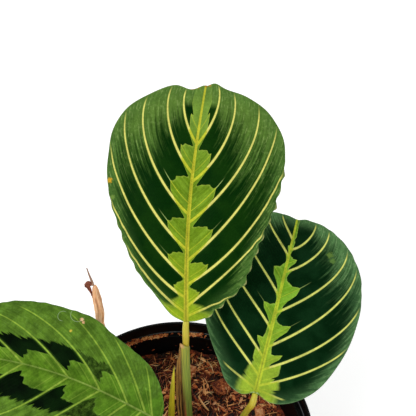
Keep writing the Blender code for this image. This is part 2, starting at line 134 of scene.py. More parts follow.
def thicken(obj, wall_mm, offset):
    """Gives a sheet its thickness: offset -1 grows it below the drawn face, 0 to both sides."""
    shell = obj.modifiers.new("Thickness", "SOLIDIFY")
    shell.thickness = wall_mm * MM
    shell.offset = offset
    return shell


def new_material(name):
    """An empty material with its Principled shader and output."""
    material = bpy.data.materials.new(name)
    material.use_nodes = True
    tree = material.node_tree
    return material, tree, tree.nodes["Principled BSDF"]


def finish_material(tree, shader, colour, roughness, height=None, depth_mm=1.0):
    """Links a colour, a roughness and a bump height in millimetres to the shader."""
    tree.links.new(colour, shader.inputs["Base Color"])
    if isinstance(roughness, bpy.types.NodeSocket):
        tree.links.new(roughness, shader.inputs["Roughness"])
    else:
        shader.inputs["Roughness"].default_value = roughness
    if height is not None:
        bump = add(tree, "Bump", {"Strength": 1.0, "Distance": depth_mm * MM, "Height": height})
        tree.links.new(bump, shader.inputs["Normal"])


print("helpers ready")

# %% [markdown]
# ## The leaf blades
#
# Each blade lies in a plane of its own, with a heading, a pitch and a roll, the same as its solid. What
# makes a prayer plant's leaf is its veins: seven or eight a side, which leave the midrib at about fifty
# degrees and then bend until they run along the margin. So the mesh is woven along them. A row of the
# grid is one vein-like curve from the midrib to the margin, and the number q counts the rows in veins:
# it is a whole number on a vein and a fraction between two. For each side the lists say, vein by vein,
# where it starts on the midrib (mm), where it meets the margin (share of the margin's length), and the
# angles at which it leaves and arrives, in degrees out from the leaf's own direction. Peaks and hairs are
# for the paint, one number for each gap between veins: how far the lime zone reaches (mm) and how much
# of a pale hair grows from its tooth. The frill is where the margin is crimped, from vein to vein, and
# by how much.

# %% The three leaves
LEAVES = {
    "main": dict(
        base=(4.5, 22.4, 150.0), heading=6.4, pitch=41.1, roll=-4.9, length=95.8, bow=-2.5,
        arch=2.6, tip_droop=5.0, ruffle=0.9, side_droop=(2.0, 3.0),
        left=dict(
            margin=[(-6.7, 2.7), (-13.4, 10.0), (-21.8, 19.5), (-29.5, 34.2), (-35.5, 49.4), (-37.0, 62.0),
                    (-36.0, 74.3), (-31.5, 83.5), (-22.8, 90.2), (-13.0, 94.9), (-5.8, 93.7)],
            roots=[3.4, 9.4, 17.4, 28.9, 43.0, 59.6, 71.9],
            ends=[0.31, 0.455, 0.625, 0.74, 0.82, 0.90, 0.945],
            leave=[61, 62, 54, 53, 52, 46, 39], arrive=[35, 26, 8, -9, -25, -25, -22],
            peaks=[5.0, 5.5, 6.2, 10.6, 11.8, 12.2, 9.8, 9.5], hairs=[0, 0, 0, 0.3, 0.7, 1, 0, 0],
            frill=(0.5, 1.9, 0.4)),
        right=dict(
            margin=[(7.9, 2.1), (16.1, 10.1), (21.9, 16.5), (25.1, 27.0), (28.6, 38.0), (32.8, 51.5),
                    (34.8, 66.2), (33.0, 77.3), (26.5, 86.8), (17.2, 92.5), (8.6, 94.9), (4.0, 96.9)],
            roots=[1.9, 5.9, 14.8, 24.4, 39.7, 56.2, 71.1],
            ends=[0.17, 0.40, 0.60, 0.735, 0.825, 0.912, 0.966],
            leave=[58, 46, 56, 47, 49, 50, 38], arrive=[53, 29, 15, 3, -14, -21, -24],
            peaks=[4.5, 5.8, 6.8, 10.6, 14.0, 14.6, 10.6, 11.0], hairs=[0, 0, 0, 0, 0.3, 1, 0, 0],
            frill=(0.2, 2.8, 0.9))),
    "right": dict(
        base=(32.9, 5.5, 121.0), heading=15.5, pitch=17.9, roll=-4.5, length=81.4, bow=0.2,
        arch=2.0, tip_droop=2.5, ruffle=0.5, side_droop=(1.5, 2.0),
        left=dict(
            margin=[(-6.1, -1.4), (-13.0, 2.0), (-17.8, 9.0), (-24.1, 18.2), (-29.4, 29.0), (-29.9, 40.0),
                    (-27.3, 58.2), (-21.0, 73.5), (-13.9, 81.2), (-6.5, 82.2)],
            roots=[2.1, 7.6, 15.4, 28.5, 43.3, 62.3, 71.0], ends=[0.23, 0.48, 0.59, 0.69, 0.80, 0.885, 0.945],
            leave=[66, 50, 46, 45, 39, 38, 37], arrive=[40, 20, 2, -10, -15, 10, 15],
            peaks=[6.5, 6.5, 6.2, 7.0, 8.4, 8.0, 2.0, 0.8], hairs=[0, 0, 0, 0, 0.4, 0, 0, 0],
            frill=(0.0, 8.0, 0.0)),
        right=dict(
            margin=[(6.9, -2.0), (13.0, -0.9), (19.7, 3.0), (25.6, 9.3), (30.4, 18.8), (34.1, 30.3),
                    (35.7, 44.0), (34.5, 55.5), (31.4, 64.6), (24.8, 73.6), (14.8, 80.2), (6.0, 82.0)],
            roots=[1.8, 3.7, 10.4, 20.4, 35.8, 54.9, 65.8],
            ends=[0.13, 0.41, 0.57, 0.715, 0.79, 0.885, 0.937],
            leave=[92, 69, 63, 56, 57, 64, 68], arrive=[75, 30, 8, -10, -16, -20, -14],
            peaks=[8.5, 9.0, 8.7, 8.6, 9.9, 10.2, 4.6, 1.9], hairs=[0, 0, 0, 0, 0.3, 0.8, 0, 0],
            frill=(3.0, 8.0, 0.12))),
    "left": dict(
        base=(-5.6, -8.7, 124.0), heading=-74.2, pitch=7.1, roll=24.7, length=97.4, bow=5.8,
        arch=2.4, tip_droop=8.0, ruffle=0.6, side_droop=(4.0, 2.0),
        left=dict(
            margin=[(-7.0, -1.5), (-13.5, 3.0), (-19.5, 11.0), (-23.8, 23.0), (-26.3, 38.0), (-26.8, 53.0),
                    (-25.0, 67.0), (-20.5, 79.5), (-13.5, 89.5), (-6.0, 95.5)],
            roots=[4.0, 8.9, 15.6, 27.6, 41.8, 61.4, 78.0], ends=[0.17, 0.35, 0.50, 0.66, 0.77, 0.86, 0.93],
            leave=[66, 60, 52, 48, 54, 48, 40], arrive=[45, 28, 12, 0, -12, -15, -15],
            peaks=[9.0, 9.5, 10.0, 10.5, 11.0, 10.8, 8.5, 5.0], hairs=[0, 0, 0, 0, 0, 0, 0, 0],
            frill=(0.0, 8.0, 0.15)),
        right=dict(
            margin=[(6.7, 0.9), (13.8, 4.9), (19.9, 11.2), (23.8, 19.5), (27.6, 29.5), (31.6, 39.0),
                    (32.2, 50.0), (31.6, 62.0), (28.4, 75.5), (21.5, 87.0), (12.5, 94.0), (5.0, 97.0)],
            roots=[3.9, 7.1, 15.2, 27.7, 41.8, 61.4, 78.0], ends=[0.205, 0.35, 0.53, 0.72, 0.81, 0.88, 0.95],
            leave=[66, 56, 53, 50, 38, 30, 30], arrive=[50, 30, 18, 0, -8, -12, -12],
            peaks=[11.0, 11.5, 12.0, 12.0, 11.8, 11.4, 9.0, 6.0], hairs=[0, 0, 0, 0, 0, 0, 0, 0],
            frill=(0.5, 8.0, 0.15))),
}
VEINS = 7                       # drawn veins a side
ROWS_PER_VEIN = 30
COLUMNS = 36                    # from the midrib to the margin
NECK_MM = 1.4                   # half width where the stalk joins
RIB_THICKNESS_MM = 1.3
LAMINA_SHARE = 0.42             # the blade beside the rib, as a share of the rib's thickness
COLUMN_SPREAD = 1.35            # packs the columns closer together beside the midrib
print(", ".join(f"{name} {leaf['length']:.0f} mm" for name, leaf in LEAVES.items()))

# %% [markdown]
# Two small pieces of curve mathematics come first. A Catmull-Rom curve passes through every point that
# it is given, so a margin needs only about a dozen. A monotone cubic joins the numbers of a list into a
# smooth rising curve without overshoot, which keeps neighbouring rows of the grid from crossing.

# %% Curves
def through(points, per_span):
    """Points on a Catmull-Rom curve through the given ones."""
    p = np.array(points, float)
    p = np.vstack([2 * p[0] - p[1], p, 2 * p[-1] - p[-2]])
    t = (np.arange(per_span) / per_span)[:, None]
    spans = []
    for a, b, c, d in zip(p, p[1:], p[2:], p[3:]):
        spans.append(0.5 * (2 * b + (c - a) * t + (2 * a - 5 * b + 4 * c - d) * t ** 2
                            + (3 * b - a - 3 * c + d) * t ** 3))
    return np.vstack(spans + [p[-2:-1]])


def lengths(points):
    """Distance along a curve to each of its points."""
    steps = np.linalg.norm(np.diff(points, axis=0), axis=1)
    return np.concatenate([[0.0], np.cumsum(steps)])


def monotone(x, y, at):
    """A monotone cubic through (x, y), read at the given places."""
    x, y = np.array(x, float), np.array(y, float)
    step = np.diff(x)
    slope = np.diff(y) / step
    product = slope[:-1] * slope[1:]
    total = slope[:-1] + slope[1:]
    inner = np.where(product > 0, 2 * product / np.where(total == 0, 1, total), 0.0)
    tangent = np.concatenate([[slope[0]], inner, [slope[-1]]])
    k = np.clip(np.searchsorted(x, at, side="right") - 1, 0, len(x) - 2)
    u = (at - x[k]) / step[k]
    return ((1 + 2 * u) * (1 - u) ** 2 * y[k] + u * (1 - u) ** 2 * step[k] * tangent[k]
            + u * u * (3 - 2 * u) * y[k + 1] + u * u * (u - 1) * step[k] * tangent[k + 1])


def smooth_step(low, high, value):
    t = np.clip((value - low) / (high - low), 0.0, 1.0)
    return t * t * (3 - 2 * t)


print("a curve through 3 points has", len(through([(0, 0), (1, 1), (2, 0)], 4)), "points")

# %% [markdown]
# The relief has two scales. The large one is the solid's own: two arched halves beside a sunken midrib,
# a drooping tip and a wavy edge. The small one is quilting: a living leaf puffs up a third of a
# millimetre between its veins, and that is what breaks up the light on it. It is real geometry here, so
# it also shows along the edge.

# %% Relief
def leaf_axes(leaf):
    """Across, along and outward directions of a blade's plane."""
    heading, pitch, roll = (math.radians(leaf[k]) for k in ("heading", "pitch", "roll"))
    along = np.array([math.sin(heading) * math.cos(pitch), math.cos(heading) * math.cos(pitch),
                      math.sin(pitch)])
    level = np.array([math.cos(heading), -math.sin(heading), 0.0])
    across = level * math.cos(roll) + np.cross(level, along) * math.sin(roll)
    return across, along, np.cross(across, along)


def midrib_x(leaf, y):
    return leaf["bow"] * np.sin(np.pi * np.clip(y / leaf["length"], 0.0, 1.0))


def place(leaf, x, y, z):
    """Points of the blade's own plane as points of the plant, in metres."""
    across, along, out = leaf_axes(leaf)
    x, y, z = (np.asarray(v, float)[..., None] for v in (x, y, z))
    return (np.array(leaf["base"]) + x * across + y * along + z * out) * MM


def large_relief(leaf, x, y):
    v = np.clip(y / leaf["length"], 0.0, 1.0)
    off = x - midrib_x(leaf, y)
    side = np.abs(off) / 34.0
    body = np.sin(np.pi * np.minimum(v * 1.15 + 0.06, 1.0))
    arch = leaf["arch"] * np.sin(np.pi * np.minimum(side, 1.0) ** 0.8) * body
    fall = np.where(off < 0.0, *leaf["side_droop"]) * side ** 2
    droop = leaf["tip_droop"] * np.maximum(0.0, (v - 0.55) / 0.45) ** 2
    ruffle = leaf["ruffle"] * side ** 3 * np.sin(0.42 * y + np.where(off > 0.0, 0.8, 2.1))
    return arch - fall - droop + ruffle


SCALLOP_MM = 0.7                # how far a crimp moves the margin in and out
GRAZING_DEGREES = 9.0           # no row meets the margin flatter than this
MARGIN_STEP_MM = 0.25           # spacing of the points that stand for the margin
CRIMP_MM = 0.75                 # how far a crimp stands up
CRIMP_DEPTH_MM = 2.2            # how far it reaches into the blade
QUILT_MM = 0.42                 # how far the blade puffs up between two veins
GROOVE_MM = 0.55                # depth of the midrib's groove


def crimp(spec, q, along_edge):
    """How far the crimped margin stands out at each place along it, -1 to 1, times the leaf's own amount."""
    first, last, amount = spec["frill"]
    fade = smooth_step(first - 0.3, first + 0.3, q) * smooth_step(last + 0.5, last - 0.3, q)
    return amount * fade * (0.75 * np.sin(0.95 * along_edge) + 0.25 * np.sin(1.35 * along_edge + 1.0))


def small_relief(paint):
    """Quilting between the veins, the midrib's groove and the crimped margin."""
    puff = QUILT_MM * np.sin(np.pi * (paint["vein_q"] % 1.0)) ** 0.7
    puff *= smooth_step(0.0, 7.0, paint["vein_run"]) * (1 - 0.7 * paint["vein_share"] ** 3)
    groove = GROOVE_MM * np.exp(-(paint["rib_mm"] / 0.9) ** 2)
    return puff - groove + CRIMP_MM * paint["crimp"] * np.exp(-paint["rim_mm"] / CRIMP_DEPTH_MM)


across, along, out = leaf_axes(LEAVES["main"])
print("the main blade rises", round(LEAVES["main"]["pitch"]), "degrees and faces", out.round(2))

# %% [markdown]
# Now the weaving. For each side a row is a cubic Bezier curve from its root on the midrib to its end on
# the margin. Both sides share the midrib's points, so the two halves join without a seam.

# %% Rows of one half
def side_rows(leaf, side, sign, y_rows):
    """Points (rows, columns, 2) of one half, from the midrib to the margin, and q for each row."""
    spec = leaf[side]
    tip = leaf["length"]
    margin = through([(sign * NECK_MM, 0.0)] + spec["margin"] + [(sign * 0.8, tip)], 12)
    reach = lengths(margin)
    counts = np.arange(VEINS + 2)
    fine_q = np.linspace(0, VEINS + 1, 1601)
    roots = monotone(counts, [0.0] + spec["roots"] + [tip], fine_q)
    q = np.interp(y_rows, roots, fine_q)
    ends = monotone(counts, [0.0] + spec["ends"] + [1.0], q) * reach[-1]
    leave = np.radians(monotone(counts, [95] + spec["leave"] + [20], q))
    arrive = np.radians(monotone(counts, [90] + spec["arrive"] + [0], q))
    slope = np.stack([np.interp(ends, 0.5 * (reach[1:] + reach[:-1]), np.diff(margin[:, i])) for i in (0, 1)])
    arrive = np.maximum(arrive, np.arctan2(sign * slope[0], slope[1]) + np.radians(GRAZING_DEGREES))
    root = np.stack([midrib_x(leaf, y_rows), y_rows], axis=1)
    edge = np.stack([np.interp(ends, reach, margin[:, i]) for i in (0, 1)], axis=1)
    pull = 0.35 * np.linalg.norm(edge - root, axis=1)[:, None]
    first = root + pull * np.stack([sign * np.sin(leave), np.cos(leave)], axis=1)
    second = edge - 0.8 * pull * np.stack([sign * np.sin(arrive), np.cos(arrive)], axis=1)
    t = ((np.arange(COLUMNS + 1) / COLUMNS) ** COLUMN_SPREAD)[None, :, None]
    rows = ((1 - t) ** 3 * root[:, None] + 3 * (1 - t) ** 2 * t * first[:, None]
            + 3 * (1 - t) * t * t * second[:, None] + t ** 3 * edge[:, None])
    at = np.arange(0.0, reach[-1], MARGIN_STEP_MM)
    fine_margin = np.stack([np.interp(at, reach, margin[:, i]) for i in (0, 1)], axis=1)
    wave = crimp(spec, np.interp(at, ends, q), at)
    return rows, q, (fine_margin, wave)


test_y = np.linspace(0.0, LEAVES["main"]["length"], 9)
test_rows, test_q, _ = side_rows(LEAVES["main"], "left", -1, test_y)
print("rows and columns", test_rows.shape[:2], "at vein numbers", test_q.round(1))

# %% [markdown]
# The mesh also carries what the paint will need at each point: q, the distance along the vein, the gap
# between two veins in millimetres, and the distances to the midrib and to the margin. The frill moves the
# margin in and out here, before the distances are measured.

# %% Numbers for the paint
def side_paint(leaf, spec, rows, q, margin):
    """The numbers that the paint and the relief need, for each point of one half."""
    edge, wave = margin
    apart = np.linalg.norm(rows[:, :, None] - edge[None, None], axis=3)
    nearest = apart.argmin(axis=2)
    rim = apart.min(axis=2)
    rim[:, -1] = 0.0
    crimped = wave[nearest]
    tangent = np.gradient(edge, axis=0)
    outward = np.stack([tangent[:, 1], -tangent[:, 0]], axis=1) * np.sign(edge[len(edge) // 2, 0])
    outward /= np.linalg.norm(outward, axis=1, keepdims=True)
    rows = rows + outward[nearest] * (SCALLOP_MM * crimped * np.exp(-rim / 1.5))[..., None]
    step = np.diff(rows, axis=1)
    run = np.concatenate([np.zeros((len(q), 1)), np.cumsum(np.linalg.norm(step, axis=2), axis=1)], axis=1)
    tangent = np.gradient(rows, axis=1)
    tangent /= np.maximum(np.linalg.norm(tangent, axis=2, keepdims=True), 1e-9)
    drift = np.gradient(rows, axis=0) / np.maximum(np.gradient(q), 1e-9)[:, None, None]
    gap = np.abs(drift[..., 0] * tangent[..., 1] - drift[..., 1] * tangent[..., 0])
    rib = np.abs(rows[..., 0] - midrib_x(leaf, rows[..., 1]))
    share = np.broadcast_to((np.arange(COLUMNS + 1) / COLUMNS) ** COLUMN_SPREAD, run.shape)
    centres = np.arange(VEINS + 1) + 0.5
    corners = np.concatenate([[c - 0.48, c + 0.48] for c in centres])
    one_row = dict(vein_q=q, peak_mm=np.interp(q, corners, np.repeat(spec["peaks"], 2)),
                   hair=np.interp(q, corners, np.repeat(spec["hairs"], 2)))
    paint = {key: np.broadcast_to(value[:, None], run.shape) for key, value in one_row.items()}
    return dict(paint, vein_share=share, vein_run=run, vein_gap=gap, rib_mm=rib, rim_mm=rim, crimp=crimped,
                across_mm=rows[..., 0], along_mm=rows[..., 1])


print("a blade has", (COLUMNS * 2 + 1) * (ROWS_PER_VEIN * (VEINS + 1) + 1), "points")

# %% [markdown]
# Both halves become one grid. Solidify turns it into a leaf, and a vertex group lets the midrib and the
# veins stand out below, where a real blade is thickest.

# %% Weave one blade
def weave_blade(name, leaf):
    """The blade's upper surface as a mesh with its paint numbers."""
    counts = np.arange(VEINS + 2)
    q_rows = np.linspace(0, VEINS + 1, ROWS_PER_VEIN * (VEINS + 1) + 1)
    mean_roots = [0.0] + [(a + b) / 2 for a, b in zip(leaf["left"]["roots"], leaf["right"]["roots"])]
    y_rows = monotone(counts, mean_roots + [leaf["length"]], q_rows)
    halves = []
    for side, sign in (("left", -1), ("right", 1)):
        rows, q, margin = side_rows(leaf, side, sign, y_rows)
        halves.append(side_paint(leaf, leaf[side], rows, q, margin))
    paint = {key: np.concatenate([halves[0][key][:, :0:-1], halves[1][key]], axis=1) for key in halves[0]}
    x, y = paint["across_mm"], paint["along_mm"]
    z = large_relief(leaf, x, y) + small_relief(paint)
    points = place(leaf, x, y, z)
    height, width = x.shape
    index = np.arange(height * width).reshape(height, width)
    quads = np.stack([index[:-1, :-1], index[:-1, 1:], index[1:, 1:], index[1:, :-1]], axis=-1)
    mesh = bpy.data.meshes.new(name)
    mesh.from_pydata(points.reshape(-1, 3).tolist(), [], quads.reshape(-1, 4).tolist())
    remember(mesh, **paint)
    mesh.shade_smooth()
    return mesh, paint


def blade_object(name, leaf, upper, under):
    """A blade as a thin leaf with a thick rib below, pale underneath."""
    mesh, paint = weave_blade(f"{name}_blade", leaf)
    blade = bpy.data.objects.new(f"{name}_blade", mesh)
    bpy.context.scene.collection.objects.link(blade)
    mesh.materials.append(upper)
    mesh.materials.append(under)
    group = blade.vertex_groups.new(name="rib")
    v = paint["along_mm"] / leaf["length"]
    weights = np.exp(-(paint["rib_mm"] / 1.1) ** 2) * (1.0 - 0.75 * v)
    veins = 0.25 * np.exp(-(np.abs((paint["vein_q"] + 0.5) % 1.0 - 0.5) * paint["vein_gap"] / 0.35) ** 2)
    for i, weight in enumerate(np.maximum(weights, veins * (1 - paint["vein_share"])).ravel()):
        if weight > 0.01:
            group.add([i], float(weight), "REPLACE")
    shell = thicken(blade, RIB_THICKNESS_MM, -1.0)
    shell.vertex_group = "rib"
    shell.thickness_vertex_group = LAMINA_SHARE
    shell.material_offset = 1
    return blade


test_mesh, test_paint = weave_blade("test", LEAVES["main"])
widest = float(test_paint["vein_gap"].max())
print(len(test_mesh.polygons), "faces; veins are up to", round(widest, 1), "mm apart")
bpy.data.meshes.remove(test_mesh)

# %% [markdown]
# ## Leaf paint
#
# Living leaf: a waxy cuticle over green tissue, with an IOR near 1.45 and a roughness near 0.5, so it is
# satin. Its mirror share is set low on purpose: a bright white room lies over the dark green like a grey
# film, and the real leaf, felted by tiny bumps on its cells, shows almost none of it. The pattern is drawn
# in the vein's own measures. Between two veins the lime zone beside the
# midrib ends in a saw-toothed edge, which is one curve over the fraction of q: wide along the lower
# vein, a peak past the middle, a deep notch below the next vein. Outside it the blade is nearly black
# green, and it pales towards the margin in streaks that run with the veins. Each vein is a pale yellow
# line about a millimetre wide, which thins towards the margin.

# %% Edges of the lime zone
LOBED = [(0.0, 0.70), (0.04, 0.76), (0.09, 0.93), (0.2, 0.97), (0.27, 1.0), (0.32, 0.88), (0.42, 0.78),
         (0.5, 0.74), (0.55, 0.66), (0.63, 0.50), (0.70, 0.41), (0.77, 0.23), (0.82, 0.18), (0.86, 0.26),
         (0.92, 0.46), (1.0, 0.76)]
TOOTHED = [(0.0, 0.30), (0.1, 0.30), (0.17, 0.48), (0.22, 0.86), (0.35, 1.0), (0.41, 0.84), (0.5, 0.55),
           (0.6, 0.38), (0.7, 0.22), (0.8, 0.14), (0.87, 0.18), (0.94, 0.28), (1.0, 0.42)]
ROUNDED = [(0.0, 0.62), (0.12, 0.72), (0.22, 0.80), (0.27, 0.78), (0.31, 0.58), (0.345, 0.68), (0.38, 0.94),
           (0.5, 1.0), (0.8, 1.0), (1.0, 1.0)]
STEPPED = [(0.0, 0.90), (0.06, 0.98), (0.35, 1.0), (0.53, 0.94), (0.59, 0.72), (0.66, 0.62), (0.74, 0.60),
           (0.82, 0.34), (0.88, 0.42), (1.0, 0.90)]
print(len(LOBED) + len(TOOTHED) + len(ROUNDED) + len(STEPPED), "points in four edges")

# %% [markdown]
# The paint reads the numbers that the mesh carries, and four noises. Blotches and mottling lie in the
# blade's plane, in millimetres. The streaks lie in vein numbers, so that they run along the veins.

# %% What the paint reads
def leaf_measures(tree):
    """Sockets with the mesh's numbers and the noises, by name."""
    keys = ("vein_q", "vein_share", "vein_run", "vein_gap", "rib_mm", "rim_mm", "across_mm", "along_mm",
            "peak_mm", "hair", "crimp")
    read = {key: add(tree, "Attribute " + key, out=2) for key in keys}
    plane = add(tree, "CombineXYZ", [read["across_mm"], read["along_mm"], 0.0])
    stretched = add(tree, "Math MULTIPLY", [read["vein_q"], 9.0])
    squeezed = add(tree, "Math MULTIPLY", [read["vein_run"], 0.05])
    flow = add(tree, "CombineXYZ", [stretched, squeezed, add(tree, "Math SIGN", [read["across_mm"]])])
    return dict(
        read, plane=plane, flow=flow, between=add(tree, "Math FRACT", [read["vein_q"]]),
        cells=add(tree, "TexNoise", {"Vector": plane, "Scale": 1.1, "Detail": 3.0, "Roughness": 0.7}),
        blotch=add(tree, "TexNoise", {"Vector": plane, "Scale": 0.09, "Detail": 2.0}),
        streaks=add(tree, "TexNoise", {"Vector": flow, "Scale": 1.0, "Detail": 4.0, "Roughness": 0.65}),
        mottle=add(tree, "TexNoise", {"Vector": plane, "Scale": 0.45, "Detail": 5.0, "Roughness": 0.75}))


def sockets(measures, names):
    """Several measures at once, from a line of names."""
    return (measures[name] for name in names.split())


print("each skin reads 11 numbers and 4 noises")

# %% [markdown]
# The lime zone ends where the distance along the vein passes the saw-toothed edge. At the foot of the
# blade it fills the whole width, and towards the tip it fades. The dark zone lies outside it. On the two
# older leaves it pales softly towards the margin, and on the young one it is a torn blotch.

# %% Lime and dark zones
def lime_zone(tree, look, measures):
    """How lime each point is, how much it belongs to the zone's bright rim, and the zone's edge in mm."""
    q, run, along, peak, plane, between = sockets(measures, "vein_q vein_run along_mm peak_mm plane between")
    tooth = add(tree, "FloatCurve", {"Value": between}, points=look["saw"])
    crown = add(tree, "FloatCurve", {"Value": between}, points=ROUNDED)
    first_blunt = add(tree, "Math LESS_THAN", [q, look["blunt_below"]])
    blunt = add(tree, "Math MAXIMUM", [add(tree, "Math GREATER_THAN", [q, VEINS]), first_blunt])
    tooth = add(tree, "Mix", {0: blunt, 2: tooth, 3: crown})
    up_the_blade = add(tree, "Math DIVIDE", [q, VEINS + 1])
    whole = add(tree, "FloatCurve", {"Value": up_the_blade}, points=look["foot"])
    whole = add(tree, "Math MULTIPLY", [whole, add(tree, "MapRange", [tooth, 0.0, 1.0, 6.2, 10.6])])
    saw = add(tree, "Math MAXIMUM", [add(tree, "Math MULTIPLY", [tooth, peak]), whole])
    jagged = add(tree, "TexNoise", {"Vector": plane, "Scale": 0.6, "Detail": 3.0})
    teeth = add(tree, "Math MULTIPLY", [add(tree, "Math SUBTRACT", [jagged, 0.5]), look["tooth_mm"]])
    edge = add(tree, "Math ADD", [saw, teeth])
    blur = add(tree, "FloatCurve", {"Value": up_the_blade}, points=look["blur"])
    past = add(tree, "Math DIVIDE", [add(tree, "Math SUBTRACT", [run, edge]), blur])
    lime = add(tree, "MapRange SMOOTHSTEP", [past, 1.6, -1.6])
    tip_start, tip_end = look["tip_green"]
    below_tip = add(tree, "MapRange SMOOTHSTEP", [along, tip_start, tip_end + 4.0, 1.0, 0.35])
    lime = add(tree, "Math MULTIPLY", [lime, below_tip])
    inside = add(tree, "MapRange SMOOTHSTEP", [add(tree, "Math SUBTRACT", [edge, run]), 0.9, 0.1])
    return lime, add(tree, "Math MULTIPLY", [inside, lime]), edge


def soft_end(tree, look, measures):
    """The dark zone pales towards the margin in streaks, later between the lower veins."""
    q, share, streaks = sockets(measures, "vein_q vein_share streaks")
    pale_from, pale_full, lower_later = look["fade"]
    wander = add(tree, "Math MULTIPLY", [add(tree, "Math SUBTRACT", [streaks, 0.5]), 0.75])
    later = add(tree, "Math MULTIPLY", [add(tree, "MapRange SMOOTHSTEP", [q, 5.0, 3.0]), lower_later])
    tip_pockets = add(tree, "MapRange SMOOTHSTEP", [q, 6.95, 7.1, 0.0, 0.26])
    later = add(tree, "Math MAXIMUM", [later, tip_pockets])
    outer = add(tree, "Math SUBTRACT", [add(tree, "Math ADD", [share, wander]), later])
    return add(tree, "MapRange SMOOTHSTEP", [outer, pale_from, pale_full])


def torn_end(tree, look, measures):
    """The dark zone is a band of blotches beside the lime, between the third vein and the tip."""
    q, run, peak, flow, mottle = sockets(measures, "vein_q vein_run peak_mm flow mottle")
    torn = add(tree, "TexNoise", {"Vector": flow, "Scale": 0.8, "Detail": 4.0, "Roughness": 0.75})
    torn = add(tree, "Math MULTIPLY", [add(tree, "Math SUBTRACT", [torn, 0.5]), 12.0])
    broad = add(tree, "MapRange", [q, 3.3, 4.4, *look["blotch_mm"]])
    far = add(tree, "Math ADD", [add(tree, "Math ADD", [peak, broad]), torn])
    outer = add(tree, "MapRange SMOOTHSTEP", [add(tree, "Math SUBTRACT", [run, far]), -0.7, 0.7])
    grows = add(tree, "Math MULTIPLY", [add(tree, "MapRange SMOOTHSTEP", [q, 2.95, 3.2]),
                                        add(tree, "MapRange SMOOTHSTEP", [q, 7.6, 7.0])])
    outer = add(tree, "Math MAXIMUM", [outer, add(tree, "Math SUBTRACT", [1.0, grows])])
    pale_mark = add(tree, "MapRange SMOOTHSTEP", [mottle, 0.3, 0.7, 0.04, 0.5])
    pale_mark = add(tree, "Math MULTIPLY", [add(tree, "MapRange SMOOTHSTEP", [q, 4.1, 3.9]), pale_mark])
    return add(tree, "Math MAXIMUM", [outer, pale_mark])


print("zones are ready:", lime_zone.__name__, soft_end.__name__, torn_end.__name__)

# %% [markdown]
# A vein is a line where the distance to the nearest whole q is under its half width, which shrinks from
# half a millimetre to a fifth towards the margin. A darker halo lies under it. Each tooth's peak may run
# out in a pale hair, and hair-fine veins fill the gaps, five to a gap.

# %% Veins
def line_share(tree, distance, ramp, parts):
    """How strongly a line shows: a soft ramp over the distance to it, times each of its other shares."""
    shows = add(tree, "MapRange SMOOTHSTEP", [distance, *ramp])
    for part in parts:
        shows = add(tree, "Math MULTIPLY", [shows, part])
    return shows


def leaf_veins(tree, look, measures, edge, outer):
    """Shares of vein, halo, hair, minor veins, midrib and the midrib's core, by name."""
    q, share, run, gap, rib, along, pale_hair, plane, between = sockets(
        measures, "vein_q vein_share vein_run vein_gap rib_mm along_mm hair plane between")
    nearest = add(tree, "Math MULTIPLY", [add(tree, "Math PINGPONG", [q, 0.5]), gap])
    half_width = add(tree, "MapRange", [share, 0.0, 1.0, 0.5, 0.2])
    half_width = add(tree, "Math MULTIPLY", [half_width, look["vein_width"]])
    first_strength, first_end = look["first"]
    first = add(tree, "MapRange SMOOTHSTEP", [q, 1.5, 1.4])
    real = add(tree, "Math MULTIPLY", [add(tree, "MapRange SMOOTHSTEP", [q, 0.45, 0.55]),
                                       add(tree, "MapRange SMOOTHSTEP", [q, VEINS + 0.55, VEINS + 0.45])])
    weaker = add(tree, "Math MULTIPLY", [first, 1.0 - first_strength])
    real = add(tree, "Math MULTIPLY", [real, add(tree, "Math SUBTRACT", [1.0, weaker])])
    shorter = add(tree, "Math MULTIPLY", [first, look["vein_end"] - first_end])
    end = add(tree, "Math SUBTRACT", [look["vein_end"], shorter])
    fade = add(tree, "MapRange SMOOTHSTEP", [add(tree, "Math SUBTRACT", [end, share]), 0.0, 0.14])
    distance = add(tree, "Math SUBTRACT", [nearest, half_width])

    middle = add(tree, "Math ABSOLUTE", [add(tree, "Math SUBTRACT", [between, look["hair_at"]])])
    middle = add(tree, "Math MULTIPLY", [middle, gap])
    beyond = add(tree, "Math SUBTRACT", [run, edge])
    hair = add(tree, "MapRange SMOOTHSTEP", [beyond, 0.3, -0.3, 0.0, 0.6])
    hair = add(tree, "Math MAXIMUM", [pale_hair, hair])
    near_edge = add(tree, "MapRange SMOOTHSTEP", [beyond, 6.5, 1.0])

    fine = add(tree, "Math PINGPONG", [add(tree, "Math MULTIPLY", [q, 5.0]), 0.5])
    fine = add(tree, "Math MULTIPLY", [fine, add(tree, "Math DIVIDE", [gap, 5.0])])
    dots = add(tree, "TexNoise", {"Vector": plane, "Scale": 0.35, "Detail": 2.0})
    dots = add(tree, "MapRange SMOOTHSTEP", [dots, 0.48, 0.62])
    wide_gap = add(tree, "MapRange SMOOTHSTEP", [gap, 2.5, 5.0])

    rib_width = add(tree, "MapRange", [along, 0.0, look["length"], *look["rib"]])
    low_half = add(tree, "MapRange SMOOTHSTEP", [along, 0.62 * look["length"], 0.1 * look["length"]])
    return dict(
        vein=line_share(tree, distance, (0.18, -0.14), [real, fade]),
        halo=line_share(tree, distance, (0.9, 0.0), [real, fade]),
        hair=line_share(tree, middle, (0.22, 0.04), [near_edge, hair]),
        minor=line_share(tree, fine, (0.2, 0.04), [dots, outer, wide_gap]),
        midrib=line_share(tree, add(tree, "Math SUBTRACT", [rib, rib_width]), (0.14, -0.12), []),
        core=line_share(tree, rib, (0.36, 0.1), [low_half]))


print("six kinds of line are ready")

# %% [markdown]
# The colours go on in layers, from the ground up, like glazes: each one is a share and a colour over what
# is there. So the skin is a list of layers, and one loop paints them. Last come the small damages of a
# real leaf, scorched or yellow spots with uneven edges and pale curved scratches.

